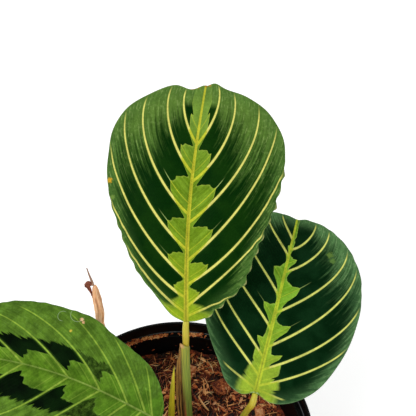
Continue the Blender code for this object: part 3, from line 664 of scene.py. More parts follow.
# %% Colours in layers
def ground_colours(tree, look, measures, outer):
    """The dark and the pale green with a painted sheen towards the tip, and the lime that lies over them."""
    along, blotch, streaks = sockets(measures, "along_mm blotch streaks")
    dark = add(tree, "MixRGB", [add(tree, "MapRange SMOOTHSTEP", [blotch, 0.42, 0.62]),
                                linear(look["dark"]), linear(look["dark_2"])])
    green = add(tree, "MixRGB", [add(tree, "MapRange SMOOTHSTEP", [streaks, 0.35, 0.65]),
                                 linear(look["outer"]), linear(look["outer_2"])])
    high, top = 0.6 * look["length"], 0.95 * look["length"]
    # painted sheen: the green pales towards the tip, where the blade bends back towards the light
    tip_sheen_share = add(tree, "MapRange SMOOTHSTEP", [along, high, top, 0.0, 0.6])
    green = add(tree, "MixRGB", [tip_sheen_share, green, linear(look["crest"])])
    lime = add(tree, "MixRGB", [add(tree, "MapRange SMOOTHSTEP", [streaks, 0.36, 0.62]),
                                linear(look["lime"]), linear(look["lime_2"])])
    near_stalk = add(tree, "MapRange SMOOTHSTEP", [along, 45.0, 3.0, 0.0, 0.85])
    lime = add(tree, "MixRGB", [near_stalk, lime, linear(look["base_colour"])])
    tip_share = add(tree, "MapRange SMOOTHSTEP", [along, look["tip_from"], look["length"], 0.0, 0.85])
    lime = add(tree, "MixRGB", [tip_share, lime, linear(look["tip"])])
    return add(tree, "MixRGB", [outer, dark, green]), lime


def damage_layers(tree, look, measures):
    """Spots and scratches as (share, colour) pairs."""
    plane, cells = sockets(measures, "plane cells")
    layers = []
    for x, y, radius, code in look["spots"]:
        spot = add(tree, "VectorMath DISTANCE", [plane, (x, y, 0.0)], out=1)
        uneven = add(tree, "Math MULTIPLY", [add(tree, "Math SUBTRACT", [cells, 0.5]), 2.2 * radius])
        spot = add(tree, "Math ADD", [spot, uneven])
        spot = add(tree, "MapRange SMOOTHSTEP", [spot, radius, radius * 0.4, 0.0, 0.97])
        layers.append((spot, linear(code)))
    for x, y, radius, heading in look["scratches"]:
        ring = add(tree, "VectorMath DISTANCE", [plane, (x, y, 0.0)], out=1)
        ring = add(tree, "Math COMPARE", [ring, radius, 0.11])
        towards = (math.cos(math.radians(heading)), math.sin(math.radians(heading)), 0.0)
        ahead = add(tree, "VectorMath SUBTRACT", [plane, (x, y, 0.0)])
        ahead = add(tree, "VectorMath DOT_PRODUCT", [ahead, towards], out=1)
        half = add(tree, "MapRange SMOOTHSTEP", [ahead, -0.5 * radius, 0.0, 0.0, 0.42])
        layers.append((add(tree, "Math MULTIPLY", [ring, half]), linear("bcd0a8")))
    return layers


print("layers are ready")

# %% [markdown]
# The skin puts it all together. Over the ground come the sheen of the edge, mottling, fine veins, halos,
# the lime zone with its rim, hairs, veins, the midrib and its brown core, the margin, painted highlights
# on the crimps and a few darker clouds. The relief is slight: veins a tenth of a millimetre proud, and
# pleats.

# %% Leaf skin
def leaf_upper(name, look):
    """The upper skin of a patterned leaf."""
    material, tree, shader = new_material(name)
    measures = leaf_measures(tree)
    along, rim, cells, streaks, mottle, crimped = sockets(
        measures, "along_mm rim_mm cells streaks mottle crimp")
    lime, lime_rim, edge = lime_zone(tree, look, measures)
    outer = (soft_end if look["dark_end"] == "soft" else torn_end)(tree, look, measures)
    green_tip = add(tree, "MapRange SMOOTHSTEP", [along, *look["tip_green"]])
    outer = add(tree, "Math MAXIMUM", [outer, green_tip])
    lines = leaf_veins(tree, look, measures, edge, outer)
    colour, lime_colour = ground_colours(tree, look, measures, outer)

    edge_sheen = add(tree, "MapRange SMOOTHSTEP", [rim, 7.0, 0.0])
    edge_sheen = add(tree, "Math MULTIPLY", [edge_sheen, look["edge_sheen"]])
    mottled = add(tree, "MapRange SMOOTHSTEP", [mottle, 0.5, 0.68, 0.0, 0.3])
    hair_colour = add(tree, "MixRGB", [lime, linear("c4e080"), linear(look["vein_lime"])])
    vein_colour = add(tree, "MixRGB", [lime, linear(look["vein"]), linear(look["vein_lime"])])
    # painted highlight: a pale line where the crimped margin folds and catches the light
    fold = add(tree, "Math MULTIPLY", [add(tree, "MapRange SMOOTHSTEP", [crimped, 0.05, 0.6]),
                                       add(tree, "MapRange SMOOTHSTEP", [rim, 0.6, 0.15])])
    cloud = add(tree, "TexNoise", {"Vector": measures["plane"], "Scale": 0.16, "Detail": 3.0,
                                   "Roughness": 0.6})
    layers = [
        (edge_sheen, linear(look["edge"])),
        (add(tree, "Math MULTIPLY", [mottled, outer]), linear(look["minor"])),
        (add(tree, "Math MULTIPLY", [lines["minor"], look["minor_share"]]), linear(look["minor"])),
        (add(tree, "Math MULTIPLY", [lines["halo"], 0.3]), linear(look["halo"])),
        (lime, lime_colour),
        (add(tree, "Math MULTIPLY", [lime_rim, 0.5]), linear(look["lime_rim"])),
        (add(tree, "Math MULTIPLY", [lines["hair"], 0.8]), hair_colour),
        (add(tree, "Math MULTIPLY", [lines["vein"], 0.95]), vein_colour),
        (lines["midrib"], linear(look["rib_colour"])),
        (add(tree, "Math MULTIPLY", [lines["core"], 0.5]), linear(look["rib_core"])),
        (add(tree, "MapRange SMOOTHSTEP", [rim, 0.45, 0.1, 0.0, 0.5]), linear(look["rim"])),
        # painted highlight on the crimps
        (add(tree, "Math MULTIPLY", [fold, 0.6]), linear("c0bd7c")),
        (add(tree, "MapRange SMOOTHSTEP", [cloud, 0.62, 0.36, 0.0, look["cloud"]]), linear(look["dark_2"])),
    ]
    for share, over in layers + damage_layers(tree, look, measures):
        colour = add(tree, "MixRGB", [share, colour, over])
    grain = add(tree, "MapRange", [cells, 0.3, 0.7, 0.84, 1.17])
    colour = add(tree, "MixRGB MULTIPLY", [1.0, colour, add(tree, "CombineColor", [grain] * 3)])

    # surface: veins a little proud, a fine pleat between them and the cells of the skin
    pleat = add(tree, "Math SINE", [add(tree, "Math MULTIPLY", [measures["vein_q"], 75.0])])
    pleat = add(tree, "Math MULTIPLY", [pleat, 0.018])
    height = add(tree, "Math ADD", [add(tree, "Math MULTIPLY", [lines["vein"], 0.1]), pleat])
    height = add(tree, "Math ADD", [height, add(tree, "Math MULTIPLY", [cells, 0.1])])
    roughness = add(tree, "MapRange", [streaks, 0.3, 0.7, look["rough"] - 0.05, look["rough"] + 0.07])
    shader.inputs["IOR"].default_value = 1.45
    shader.inputs["Specular IOR Level"].default_value = 0.018
    finish_material(tree, shader, colour, roughness, height)
    return material


print("leaf skin is ready")

# %% [markdown]
# Each leaf's look is a set of numbers. saw, foot, blur and tooth_mm shape the lime zone: its edge between
# two veins, how far it fills the foot of the blade, how soft it is and how jagged. dark_end, fade and
# blotch_mm say where the dark zone ends. first is the lowest vein's strength and where it ends, and
# hair_at the place of the hair between two veins. The lengths are in millimetres, a spot is its place,
# radius and colour, and a scratch is its place, radius and heading in degrees. The right leaf is older,
# so it is bluer and darker, and the left one is young, so it is nearly all green.

# %% Three looks
MAIN_LOOK = dict(
    length=95.8, rough=0.46,
    # lime zone
    saw=LOBED, blunt_below=0.0, tooth_mm=0.9, tip_from=58.0, tip_green=(86.0, 89.5),
    foot=[(0.0, 1.1), (0.075, 0.95), (0.125, 0.72), (0.19, 0.56), (0.25, 0.47), (0.31, 0.43), (0.36, 0.2),
          (0.4, 0.0), (1.0, 0.0)],
    blur=[(0.0, 3.5), (0.08, 2.6), (0.15, 1.2), (0.22, 0.5), (0.3, 0.2), (0.8, 0.1), (0.93, 0.1),
          (0.96, 1.5), (1.0, 1.5)],
    lime="678818", lime_2="7ea12a", lime_rim="a9c04a", base_colour="96b224", tip="7ca044",
    # dark zone, the green outside it and its painted sheen towards the tip
    dark_end="soft", fade=(0.38, 0.76, 0.16), dark="062905", dark_2="103307", outer="294c15",
    outer_2="567c32", crest="688838", edge="4e7637", edge_sheen=0.4, rim="7f9a55", cloud=0.18,
    # veins
    vein_width=1.05, vein_end=1.0, first=(0.85, 0.95), hair_at=0.26, rib=(1.0, 0.35), vein="efe97a",
    vein_lime="cdd038", rib_colour="cac83a", rib_core="8f8a34", halo="33661a", minor="9cb868",
    minor_share=0.55,
    # damage
    scratches=[],
    spots=[(-35.4, 54.2, 1.3, "d6a62c"), (-5.6, 94.0, 0.7, "b98a3a"), (-4.3, 94.2, 0.7, "a8803a"),
           (-3.0, 94.6, 0.5, "b98a3a"), (0.2, 95.6, 0.8, "a87a34"), (1.6, 95.9, 0.7, "b08238"),
           (-33.6, 47.5, 1.2, "6f8f3f")])

RIGHT_LOOK = dict(
    MAIN_LOOK, length=81.4,
    saw=TOOTHED, blunt_below=2.95, tip_from=76.0, tip_green=(76.0, 84.0),
    foot=[(0.0, 0.7), (0.125, 0.72), (0.25, 0.62), (0.375, 0.49), (0.5, 0.35), (0.6, 0.16), (0.68, 0.0),
          (1.0, 0.0)],
    blur=[(0.0, 1.7), (0.12, 1.3), (0.2, 0.7), (0.3, 0.25), (0.45, 0.1), (1.0, 0.1)],
    lime="70a020", lime_2="8cbe38", lime_rim="accc5a", base_colour="a2bc38", tip="6a9440",
    fade=(0.48, 0.95, 0.16), dark="04200a", dark_2="0c2c13", outer="406a3c", outer_2="628e55",
    crest="5e8a50", edge="568050", edge_sheen=0.3, rim="6d8a60", cloud=0.25,
    vein_end=0.97, first=(0.6, 0.75), hair_at=0.36, rib=(1.05, 0.4), vein="e8ea78", vein_lime="c6d440",
    rib_colour="c6d43e", rib_core="8a983a", halo="24552a", minor="98bc80", minor_share=0.5,
    spots=[(17.6, 67.8, 1.9, "5c7a36"), (19.4, 65.4, 1.7, "5a7c3a")])

LEFT_LOOK = dict(
    MAIN_LOOK, length=97.4, rough=0.5,
    saw=STEPPED, tooth_mm=1.8, tip_from=90.0, tip_green=(96.0, 99.0),
    foot=[(0.0, 1.0), (0.3, 1.0), (0.36, 0.0), (1.0, 0.0)], blur=[(0.0, 1.0), (0.3, 0.25), (1.0, 0.25)],
    lime="527a1a", lime_2="688f28", lime_rim="709a36", base_colour="568022", tip="466e1c",
    dark_end="torn", blotch_mm=(4.5, 9.0), dark="020c02", dark_2="081e05", outer="507320",
    outer_2="668b2c", crest="5a8028", edge="577e30", edge_sheen=0.25, rim="5f8a40", cloud=0.4,
    vein_width=0.75, vein_end=0.93, first=(0.9, 0.9), rib=(0.42, 0.22), vein="9aba42",
    vein_lime="98b644", rib_colour="86a446", rib_core="a2b85c", halo="55852c", minor="779e46",
    minor_share=0.35,
    scratches=[(28.6, 52.0, 2.1, 90.0), (31.0, 46.3, 3.0, 155.0)],
    spots=[(29.5, 43.9, 1.0, "eec090"), (28.6, 43.0, 0.8, "e0b080"), (23.7, 46.6, 0.7, "d8c04a")])

UPPER = {"main": leaf_upper("living leaf, lime and dark green", MAIN_LOOK),
         "right": leaf_upper("living leaf, lime and blue green", RIGHT_LOOK),
         "left": leaf_upper("living leaf, young green with dark blotches", LEFT_LOOK)}
print(sum(len(m.node_tree.nodes) for m in UPPER.values()), "shader nodes in three leaf skins")

# %% [markdown]
# The underside has no lime pattern: it is a pale grey green in soft patches, and its veins and rib stand
# out. It is rougher than the top, with a roughness of 0.6, because the wax is thinner there.

# %% Underside
def leaf_under(name):
    material, tree, shader = new_material(name)
    q, gap, rib, across, along = (add(tree, "Attribute " + key, out=2) for key in (
        "vein_q", "vein_gap", "rib_mm", "across_mm", "along_mm"))
    plane = add(tree, "CombineXYZ", [across, along, 0.0])
    cells = add(tree, "TexNoise", {"Vector": plane, "Scale": 1.3, "Detail": 4.0})
    patch = add(tree, "TexNoise", {"Vector": plane, "Scale": 0.08, "Detail": 2.0})
    nearest = add(tree, "Math PINGPONG", [q, 0.5])
    nearest = add(tree, "Math MULTIPLY", [nearest, gap])
    vein = add(tree, "MapRange SMOOTHSTEP", [nearest, 0.55, 0.2])
    ridge = add(tree, "MapRange SMOOTHSTEP", [rib, 1.5, 0.6])
    ground = add(tree, "MixRGB", [patch, linear("5f7f52"), linear("7f9c6a")])
    pale_cells = add(tree, "MapRange", [cells, 0.3, 0.7, 0.0, 0.35])
    ground = add(tree, "MixRGB", [pale_cells, ground, linear("93a981")])
    colour = add(tree, "MixRGB", [vein, ground, linear("9db87a")])
    colour = add(tree, "MixRGB", [ridge, colour, linear("a9b866")])
    height = add(tree, "Math ADD", [add(tree, "Math MULTIPLY", [vein, 0.2]),
                                    add(tree, "Math MULTIPLY", [cells, 0.12])])
    shader.inputs["IOR"].default_value = 1.42
    finish_material(tree, shader, colour, 0.6, height)
    return material


UNDER = leaf_under("living leaf, pale underside")
for name, leaf in LEAVES.items():
    blade = blade_object(name, leaf, UPPER[name], UNDER)
    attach(blade, "root")
    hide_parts(f"{name}_leaf_blade")
    print(blade.name, len(blade.data.polygons), "faces on top")

# %% [markdown]
# ## Stalks
#
# A stalk is a round stem that widens into a swollen joint just under the blade. That joint is the
# pulvinus, which folds the leaves up at night like praying hands. All stems here are swept: rings of
# points along a path, each turned to face the way the path goes. One function does them all, and a
# rule for the radius at each length and angle gives the taper, the ridges or the rolled edge.

# %% Sweep
def sweep(name, path, radius, sides=24, rings=None):
    """A closed stem along a path. radius(t, angle) is in metres. t and angle are kept for the paint."""
    path = np.array(path, float)
    if rings:
        reach = lengths(path)
        at = np.linspace(0, reach[-1], rings)
        path = np.stack([np.interp(at, reach, path[:, i]) for i in range(3)], axis=1)
    heading = np.gradient(path, axis=0)
    heading /= np.linalg.norm(heading, axis=1, keepdims=True)
    t = lengths(path) / lengths(path)[-1]
    side = np.cross(heading[0], (0.0, 1.0, 0.0) if abs(heading[0][1]) < 0.9 else (1.0, 0.0, 0.0))
    verts, share, turn = [], [], []
    for point, ahead, u in zip(path, heading, t):
        side = side - ahead * side.dot(ahead)
        side /= np.linalg.norm(side)
        up = np.cross(ahead, side)
        for k in range(sides):
            angle = 2 * math.pi * k / sides
            verts.append(point + radius(u, angle) * (math.cos(angle) * side + math.sin(angle) * up))
            share.append(u)
            turn.append(k / sides)
    faces = [[i * sides + k, i * sides + (k + 1) % sides, (i + 1) * sides + (k + 1) % sides,
              (i + 1) * sides + k] for i in range(len(path) - 1) for k in range(sides)]
    faces.append(list(range(sides))[::-1])
    faces.append([(len(path) - 1) * sides + k for k in range(sides)])
    mesh = bpy.data.meshes.new(name)
    mesh.from_pydata([tuple(v) for v in verts], [], faces)
    remember(mesh, stem_t=share, stem_turn=turn)
    mesh.shade_smooth()
    mesh.set_sharp_from_angle(angle=math.radians(50))
    return mesh


def piece(name, mesh, material, replaces=()):
    """Puts a mesh in the scene as part of the plant."""
    obj = bpy.data.objects.new(name, mesh)
    bpy.context.scene.collection.objects.link(obj)
    if not mesh.materials:
        mesh.materials.append(material)
    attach(obj, "root")
    if replaces:
        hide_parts(*replaces)
    return obj


print("ready to sweep stems")

# %% [markdown]
# A stalk's route is a few listed points, the same ones as its solid's, from inside the mix up to
# where the bend begins. The bend itself ends in the blade's foot.

# %% Routes of the stalks
STALKS = {
    "main": [(5.8, 0.3, 66.0), (5.6, 2.1, 73.0), (5.2, 7.2, 92.2), (4.6, 12.2, 111.5),
             (4.2, 17.0, 130.8), (4.3, 19.4, 142.5)],
    "right": [(12.6, 0.2, 67.5), (15.0, 0.9, 74.0), (20.6, 2.2, 84.5), (25.6, 3.0, 97.0),
              (28.7, 3.4, 106.5), (30.4, 3.4, 112.0), (31.6, 2.6, 117.2)],
    "left": [(0.6, -6.2, 66.0), (0.6, -7.2, 73.0), (0.8, -9.0, 90.0), (1.0, -10.2, 106.0),
             (0.2, -10.7, 117.5)],
}
STALK_RADIUS = 1.36 * MM
BEND_RADIUS = 1.46 * MM         # the swollen joint
BEND_RUN_MM = 2.2               # its straight end, which points along the blade
CLEAR_MM = 0.3                  # the solid's bend stops this far from its blade


def stalk_path(name):
    """A stalk's route, with the bend that carries the blade."""
    leaf = LEAVES[name]
    below = -RIB_THICKNESS_MM * 0.5
    straight = place(leaf, 0.0, -CLEAR_MM - BEND_RUN_MM, below) / MM
    end = place(leaf, 0.0, -0.05, below) / MM
    return np.vstack([through(STALKS[name] + [tuple(straight)], 10), end]) * MM


print("main stalk is", round(lengths(stalk_path("main"))[-1] / MM), "mm long")

# %% [markdown]
# The stem's skin is smooth green tissue with fine fibres along it, and it yellows towards the joint.
# It is satin, with a roughness of 0.42 and the IOR of living tissue, 1.45. Real fibres are about a tenth
# of a millimetre apart, which is too fine to show from half a metre, so 26 of them are drawn round a
# stem, a third of a millimetre apart.

# %% Stalk material and stalks
def stem_material(name, stops, fibres=26.0, rough=0.42, flecks=None):
    """Green tissue: colour along the stem by a ramp, with fibres round it."""
    material, tree, shader = new_material(name)
    t, turn = (add(tree, "Attribute " + key, out=2) for key in ("stem_t", "stem_turn"))
    angle = add(tree, "Math MULTIPLY", [turn, 2 * math.pi])
    ring = add(tree, "CombineXYZ", [add(tree, "Math COSINE", [angle]), add(tree, "Math SINE", [angle]),
                                    add(tree, "Math MULTIPLY", [t, 1.6])])
    fibre = add(tree, "TexNoise", {"Vector": ring, "Scale": fibres / 6.0, "Detail": 3.0})
    patch = add(tree, "TexNoise", {"Vector": ring, "Scale": 2.2, "Detail": 4.0})
    shifted = add(tree, "Math ADD", [t, add(tree, "MapRange", [patch, 0.3, 0.7, -0.05, 0.05])])
    colour = add(tree, "ValToRGB", [shifted], stops=stops)
    light = add(tree, "MapRange", [fibre, 0.3, 0.7, 0.78, 1.22])
    colour = add(tree, "MixRGB MULTIPLY", [1.0, colour, add(tree, "CombineColor", [light] * 3)])
    if flecks:
        speck = add(tree, "MapRange", [patch, 0.60, 0.68, 0.0, 0.6])
        colour = add(tree, "MixRGB", [speck, colour, linear(flecks)])
    shader.inputs["IOR"].default_value = 1.45
    finish_material(tree, shader, colour, rough, fibre, depth_mm=0.12)
    return material


STALK_SKIN = stem_material("living stem, yellow green", [
    (0.0, "67701c"), (0.45, "7f8424"), (0.76, "a0982a"), (0.9, "c4ae30"), (1.0, "c8c03a")])
for name in STALKS:
    path = stalk_path(name)
    total = lengths(path)[-1]
    bend_share = 1.0 - 9.0 * MM / total

    def stalk_radius(t, angle, bend_share=bend_share):
        swell = float(smooth_step(bend_share - 0.04, bend_share + 0.03, t))
        groove = 1.0 - 0.05 * max(0.0, math.cos(angle)) ** 6
        pinch = 1.0 - 0.03 * math.exp(-((t - bend_share + 0.02) / 0.012) ** 2)
        neck = 1.0 - 0.14 * float(smooth_step(0.93, 1.0, t))
        return (STALK_RADIUS + (BEND_RADIUS - STALK_RADIUS) * swell) * groove * pinch * neck

    stalk = piece(f"{name}_stalk", sweep(f"{name}_stalk", path, stalk_radius, rings=90), STALK_SKIN,
                  [f"{name}_petiole"])
    print(stalk.name, len(stalk.data.polygons), "faces")

# %% [markdown]
# ## Sheaths
#
# The foot of a stalk is a sheath: a thin wing of tissue that is rolled round the stem and open on one
# side, with a slanted lip that dries to a brown edge. It is a sheet, so it is made as a sheet, a grid
# wrapped round the stalk's path, and Solidify gives it its half millimetre.

# %% Sheaths
SHEATHS = {
    "main": dict(top=140.5, opening=178.0, span=285.0, slant=7.0),
    "right": dict(top=97.0, opening=80.0, span=275.0, slant=6.0),
    "left": dict(top=103.0, opening=20.0, span=275.0, slant=6.0),
}
SHEATH_FOOT_MM = 68.5
SHEATH_WALL_MM = 0.5


def at_height(path, z):
    """Point and direction of a path where it passes a height."""
    i = min(int(np.argmax(path[:, 2] >= z)) if path[-1][2] >= z else len(path) - 1, len(path) - 1)
    i = max(i, 1)
    a, b = path[i - 1], path[i]
    ahead = (b - a) / np.linalg.norm(b - a)
    return a + (b - a) * np.clip((z - a[2]) / max(b[2] - a[2], 1e-9), 0.0, 1.0), ahead


def sheet(name, rows, columns, spot):
    """An open grid whose points come from spot(t, u), with t and u kept for the paint."""
    grid = [(i / (rows - 1), 2.0 * k / (columns - 1) - 1.0) for i in range(rows) for k in range(columns)]
    faces = [[i * columns + k, i * columns + k + 1, (i + 1) * columns + k + 1, (i + 1) * columns + k]
             for i in range(rows - 1) for k in range(columns - 1)]
    mesh = bpy.data.meshes.new(name)
    mesh.from_pydata([tuple(spot(t, u)) for t, u in grid], [], faces)
    remember(mesh, stem_t=[t for t, u in grid], stem_turn=[u for t, u in grid])
    mesh.shade_smooth()
    return mesh


print("sheaths stand", [round(spec["top"] - SHEATH_FOOT_MM, 1) for spec in SHEATHS.values()], "mm tall")

# %% [markdown]
# The sheath's skin is the stalk's, greener at the foot. It is thin tissue, so it dries first where it is
# thinnest: along its open edge, which goes from salmon to dark brown, and at the corner of its lip.

# %% Sheath material and three sheaths
def sheath_material(name, low, high, lip):
    """Rolled sheath: stem green, with a pale dry edge and lip."""
    material, tree, shader = new_material(name)
    t, u = (add(tree, "Attribute " + key, out=2) for key in ("stem_t", "stem_turn"))
    flow = add(tree, "CombineXYZ", [add(tree, "Math MULTIPLY", [u, 9.0]),
                                    add(tree, "Math MULTIPLY", [t, 2.5]), 0.0])
    fibre = add(tree, "TexNoise", {"Vector": flow, "Scale": 2.0, "Detail": 4.0})
    colour = add(tree, "ValToRGB", [add(tree, "Math MULTIPLY", [t, fibre])],
                 stops=[(0.0, low), (0.5, high), (0.56, "b0a838")])
    wander = add(tree, "MapRange", [fibre, 0.3, 0.7, -0.10, 0.10])
    across = add(tree, "Math ADD", [u, wander])
    streak = add(tree, "MapRange SMOOTHSTEP", [across, -0.7, -0.82, 0.0, 0.9])
    low_down = add(tree, "MapRange SMOOTHSTEP", [t, 0.62, 0.42, 0.15, 1.0])
    streak = add(tree, "Math MULTIPLY", [streak, low_down])
    dark = add(tree, "MapRange SMOOTHSTEP", [across, -0.88, -0.96, 0.0, 0.85])
    corner = add(tree, "MapRange SMOOTHSTEP", [u, -0.66, -0.86, 0.12, 0.95])
    top = add(tree, "Math MULTIPLY", [corner, add(tree, "MapRange SMOOTHSTEP",
                                                  [t, 0.968, 0.985, 0.0, 1.0])])
    colour = add(tree, "MixRGB", [streak, colour, linear(lip)])
    colour = add(tree, "MixRGB", [dark, colour, linear("4f2a12")])
    colour = add(tree, "MixRGB", [top, colour, linear("c99a62")])
    light = add(tree, "MapRange", [fibre, 0.3, 0.7, 0.8, 1.2])
    colour = add(tree, "MixRGB MULTIPLY", [1.0, colour, add(tree, "CombineColor", [light] * 3)])
    finish_material(tree, shader, colour, 0.5, fibre, depth_mm=0.18)
    return material


SHEATH_SKIN = sheath_material("living sheath, green with a dry lip", "3f5a1c", "90a038", "b8683a")
for name, spec in SHEATHS.items():
    path = stalk_path(name)

    def wrapped(t, u, spec=spec, path=path):
        lip = spec["slant"] * (0.5 + 0.5 * u) ** 1.2
        z = SHEATH_FOOT_MM + (spec["top"] - lip - SHEATH_FOOT_MM) * t
        centre, ahead = at_height(path, z * MM)
        angle = math.radians(spec["opening"] + 180.0 + u * spec["span"] / 2.0)
        out = np.array([math.cos(angle), math.sin(angle), 0.0])
        out -= ahead * out.dot(ahead)
        flare = 0.25 * t * abs(u) + 3.0 * max(0.0, t - 0.9) * max(0.0, -u - 0.5)
        flare += 1.3 * max(0.0, -u - 0.35)
        ripple = 0.06 * math.sin(9.0 * t + 5.0 * u)
        return centre + out / np.linalg.norm(out) * (STALK_RADIUS + (0.2 + flare + ripple) * MM)

    sheath = piece(f"{name}_sheath_skin", sheet(f"{name}_sheath_skin", 60, 33, wrapped), SHEATH_SKIN,
                   [f"{name}_sheath"])
    thicken(sheath, SHEATH_WALL_MM, -1.0)
print("three sheaths")

# %% [markdown]
# Beside the main sheath stands the withered edge of an older one. Dry tissue is paper: brown, matt,
# crinkled across its width and torn along its rim, with a salmon streak where it is thinnest.

# %% Dry strip
def dry_material(name, dark, pale, streak, rough=0.8, stripes=0.0):
    """Dry plant tissue: fibres in two browns with a warmer streak, and dark stripes along a folded one."""
    material, tree, shader = new_material(name)
    t, u = (add(tree, "Attribute " + key, out=2) for key in ("stem_t", "stem_turn"))
    flow = add(tree, "CombineXYZ", [add(tree, "Math MULTIPLY", [u, 7.0]),
                                    add(tree, "Math MULTIPLY", [t, 3.0]), 0.0])
    fibre = add(tree, "TexNoise", {"Vector": flow, "Scale": 2.4, "Detail": 5.0, "Roughness": 0.65})
    patch = add(tree, "TexNoise", {"Vector": flow, "Scale": 0.7, "Detail": 2.0})
    colour = add(tree, "ValToRGB", [fibre], stops=[(0.34, dark), (0.5, pale), (0.68, streak)])
    shade = add(tree, "MapRange", [patch, 0.3, 0.7, 0.85, 1.35])
    colour = add(tree, "MixRGB MULTIPLY", [1.0, colour, add(tree, "CombineColor", [shade] * 3)])
    if stripes:
        bent = add(tree, "Math ADD", [u, add(tree, "MapRange", [patch, 0.3, 0.7, -0.3, 0.3])])
        wave = add(tree, "Math SINE", [add(tree, "Math MULTIPLY", [bent, 8.0])])
        fold = add(tree, "MapRange SMOOTHSTEP", [wave, 0.1, 0.7, 0.0, stripes])
        colour = add(tree, "MixRGB", [fold, colour, linear(dark)])
    finish_material(tree, shader, colour, rough, fibre, depth_mm=0.35)
    return material


DRY_STRIP = dict(foot=72.5, top=138.5, width=4.2, side=176.0, reach=2.3, wall=0.3)
main_path = stalk_path("main")


def withered(t, u):
    s = (u + 1.0) / 2.0
    rise = DRY_STRIP["top"] - DRY_STRIP["foot"]
    centre, _ = at_height(main_path, (DRY_STRIP["foot"] + rise * t) * MM)
    taper = 1.0 - 0.5 * t - 0.4 * float(smooth_step(0.75, 1.0, t))
    torn = 1 + 0.18 * noise.noise(Vector((0.0, 9.0 * t, 3.0)))
    width = DRY_STRIP["width"] * taper * torn
    crinkle = 0.35 * s * noise.noise(Vector((3.0 * s, 16.0 * t, 0.0)))
    angle = math.radians(DRY_STRIP["side"] + 14.0 * s * math.sin(5.0 * t) + 22.0 * crinkle)
    out = np.array([math.cos(angle), math.sin(angle), 0.0])
    return centre + out * (DRY_STRIP["reach"] + width * s - 0.3) * MM


DRY_BROWN = dry_material("dry leaf edge, brown and papery", "160a04", "b88232", "ecb868", stripes=0.92)
strip = piece("dry_strip", sheet("dry_strip", 90, 12, withered), DRY_BROWN, ["dry_sheath"])
thicken(strip, DRY_STRIP["wall"], 0.0)
print(strip.name, len(strip.data.polygons), "faces")

# %% [markdown]
# ## The rolled new leaf
#
# A new leaf comes up rolled like a cigar. Its section isn't a circle but one turn of a spiral, so the
# outer edge shows as a step that winds slowly up the spear. The radius rule adds a seventh part over
# one turn, which makes that step, and the path carries the twist. Its skin is living tissue like the
# stalk's, but nearly yellow, because it has not greened in the light yet.

# %% Rolled leaf
SHOOT_ROUTE = [(-4.1, 0.2, 66.0), (-3.9, 2.1, 73.0), (-2.9, 8.0, 93.0), (-1.8, 11.4, 113.0),
               (-0.6, 13.6, 130.0)]
SHOOT_SHARES = [0.0, 0.11, 0.43, 0.74, 1.0]
SHOOT_RADII = [1.5, 1.65, 1.5, 1.05, 0.12]


def shoot_radius(t, angle):
    body = float(monotone(SHOOT_SHARES, SHOOT_RADII, np.array([t]))[0])
    turn = (angle / (2 * math.pi) + 0.9 * t) % 1.0
    return body * (0.90 + 0.15 * turn) * MM


SHOOT_SKIN = stem_material("living rolled leaf, yellow green", [
    (0.0, "74801a"), (0.35, "b8b01e"), (0.7, "dccc2a"), (0.93, "dccf3c"), (1.0, "96702c")], flecks="a86a34")
shoot_mesh = sweep("rolled_leaf", through(SHOOT_ROUTE, 20) * MM, shoot_radius, sides=40, rings=120)
shoot = piece("rolled_leaf", shoot_mesh, SHOOT_SKIN, ["rolled_new_leaf"])
print(shoot.name, "stands", round(shoot.dimensions.z / MM), "mm tall")

# %% [markdown]
# ## The dead stalk
#
# An old leaf has withered away and left its stalk: a tan, shrunken straw with ridges along it, swollen
# near the top by the dry sheath folded over it, and a dark curl and a hair at its tip. The ridges come
# from a few waves round the section that turn slowly along it, and noise does the rest.

# %% Dead stalk
DEAD_ROUTE = [(0.2, 8.4, 68.0), (-3.4, 11.2, 75.5), (-13.5, 19.0, 91.0), (-26.0, 29.0, 108.5),
              (-32.4, 34.3, 125.0), (-32.6, 36.4, 137.0), (-33.1, 37.0, 148.0), (-32.9, 36.8, 154.6)]
DEAD_RADII = [1.2, 1.25, 1.2, 1.3, 1.65, 1.9, 1.75, 1.1, 0.5]
DEAD_SHARES = [0.0, 0.08, 0.28, 0.52, 0.72, 0.82, 0.91, 0.98, 1.0]


def dead_radius(t, angle):
    body = float(monotone(DEAD_SHARES, DEAD_RADII, np.array([t]))[0])
    ridge = 0.10 * math.sin(5 * angle + 9 * t) + 0.06 * math.sin(9 * angle - 14 * t)
    fold = -0.30 * float(smooth_step(0.72, 0.86, t)) * max(0.0, math.cos(angle - 2.0 - t)) ** 3
    rough = 0.16 * noise.noise(Vector((2 * math.cos(angle), 2 * math.sin(angle), 22 * t)))
    return body * (1.0 + ridge + fold + rough) * MM


DRY_TAN = dry_material("dry stem, tan and fibrous", "b06c48", "fcc08c", "ffdcb4")
dead_mesh = sweep("dead_straw", through(DEAD_ROUTE, 16) * MM, dead_radius, sides=36, rings=200)
piece("dead_straw", dead_mesh, DRY_TAN, ["dead_stalk"])
CURL_ROUTE = [(-33.5, 36.8, 137.5), (-33.9, 37.0, 141.5), (-34.7, 37.4, 146.5), (-35.4, 37.4, 150.8),
              (-35.9, 37.2, 153.4), (-36.3, 36.9, 155.4), (-35.4, 36.8, 156.6), (-34.9, 37.2, 155.2),
              (-35.7, 37.6, 154.0), (-36.6, 37.7, 154.6)]


def curl_radius(t, angle):
    flat = 1.0 - 0.4 * abs(math.sin(angle + 3.0 * t))
    lump = 1.0 + 0.5 * noise.noise(Vector((3.0 * math.cos(angle), 3.0 * math.sin(angle), 14.0 * t)))
    return (0.75 + 0.5 * float(smooth_step(0.5, 0.75, t))) * flat * lump * (1.15 - 0.4 * t * t) * MM


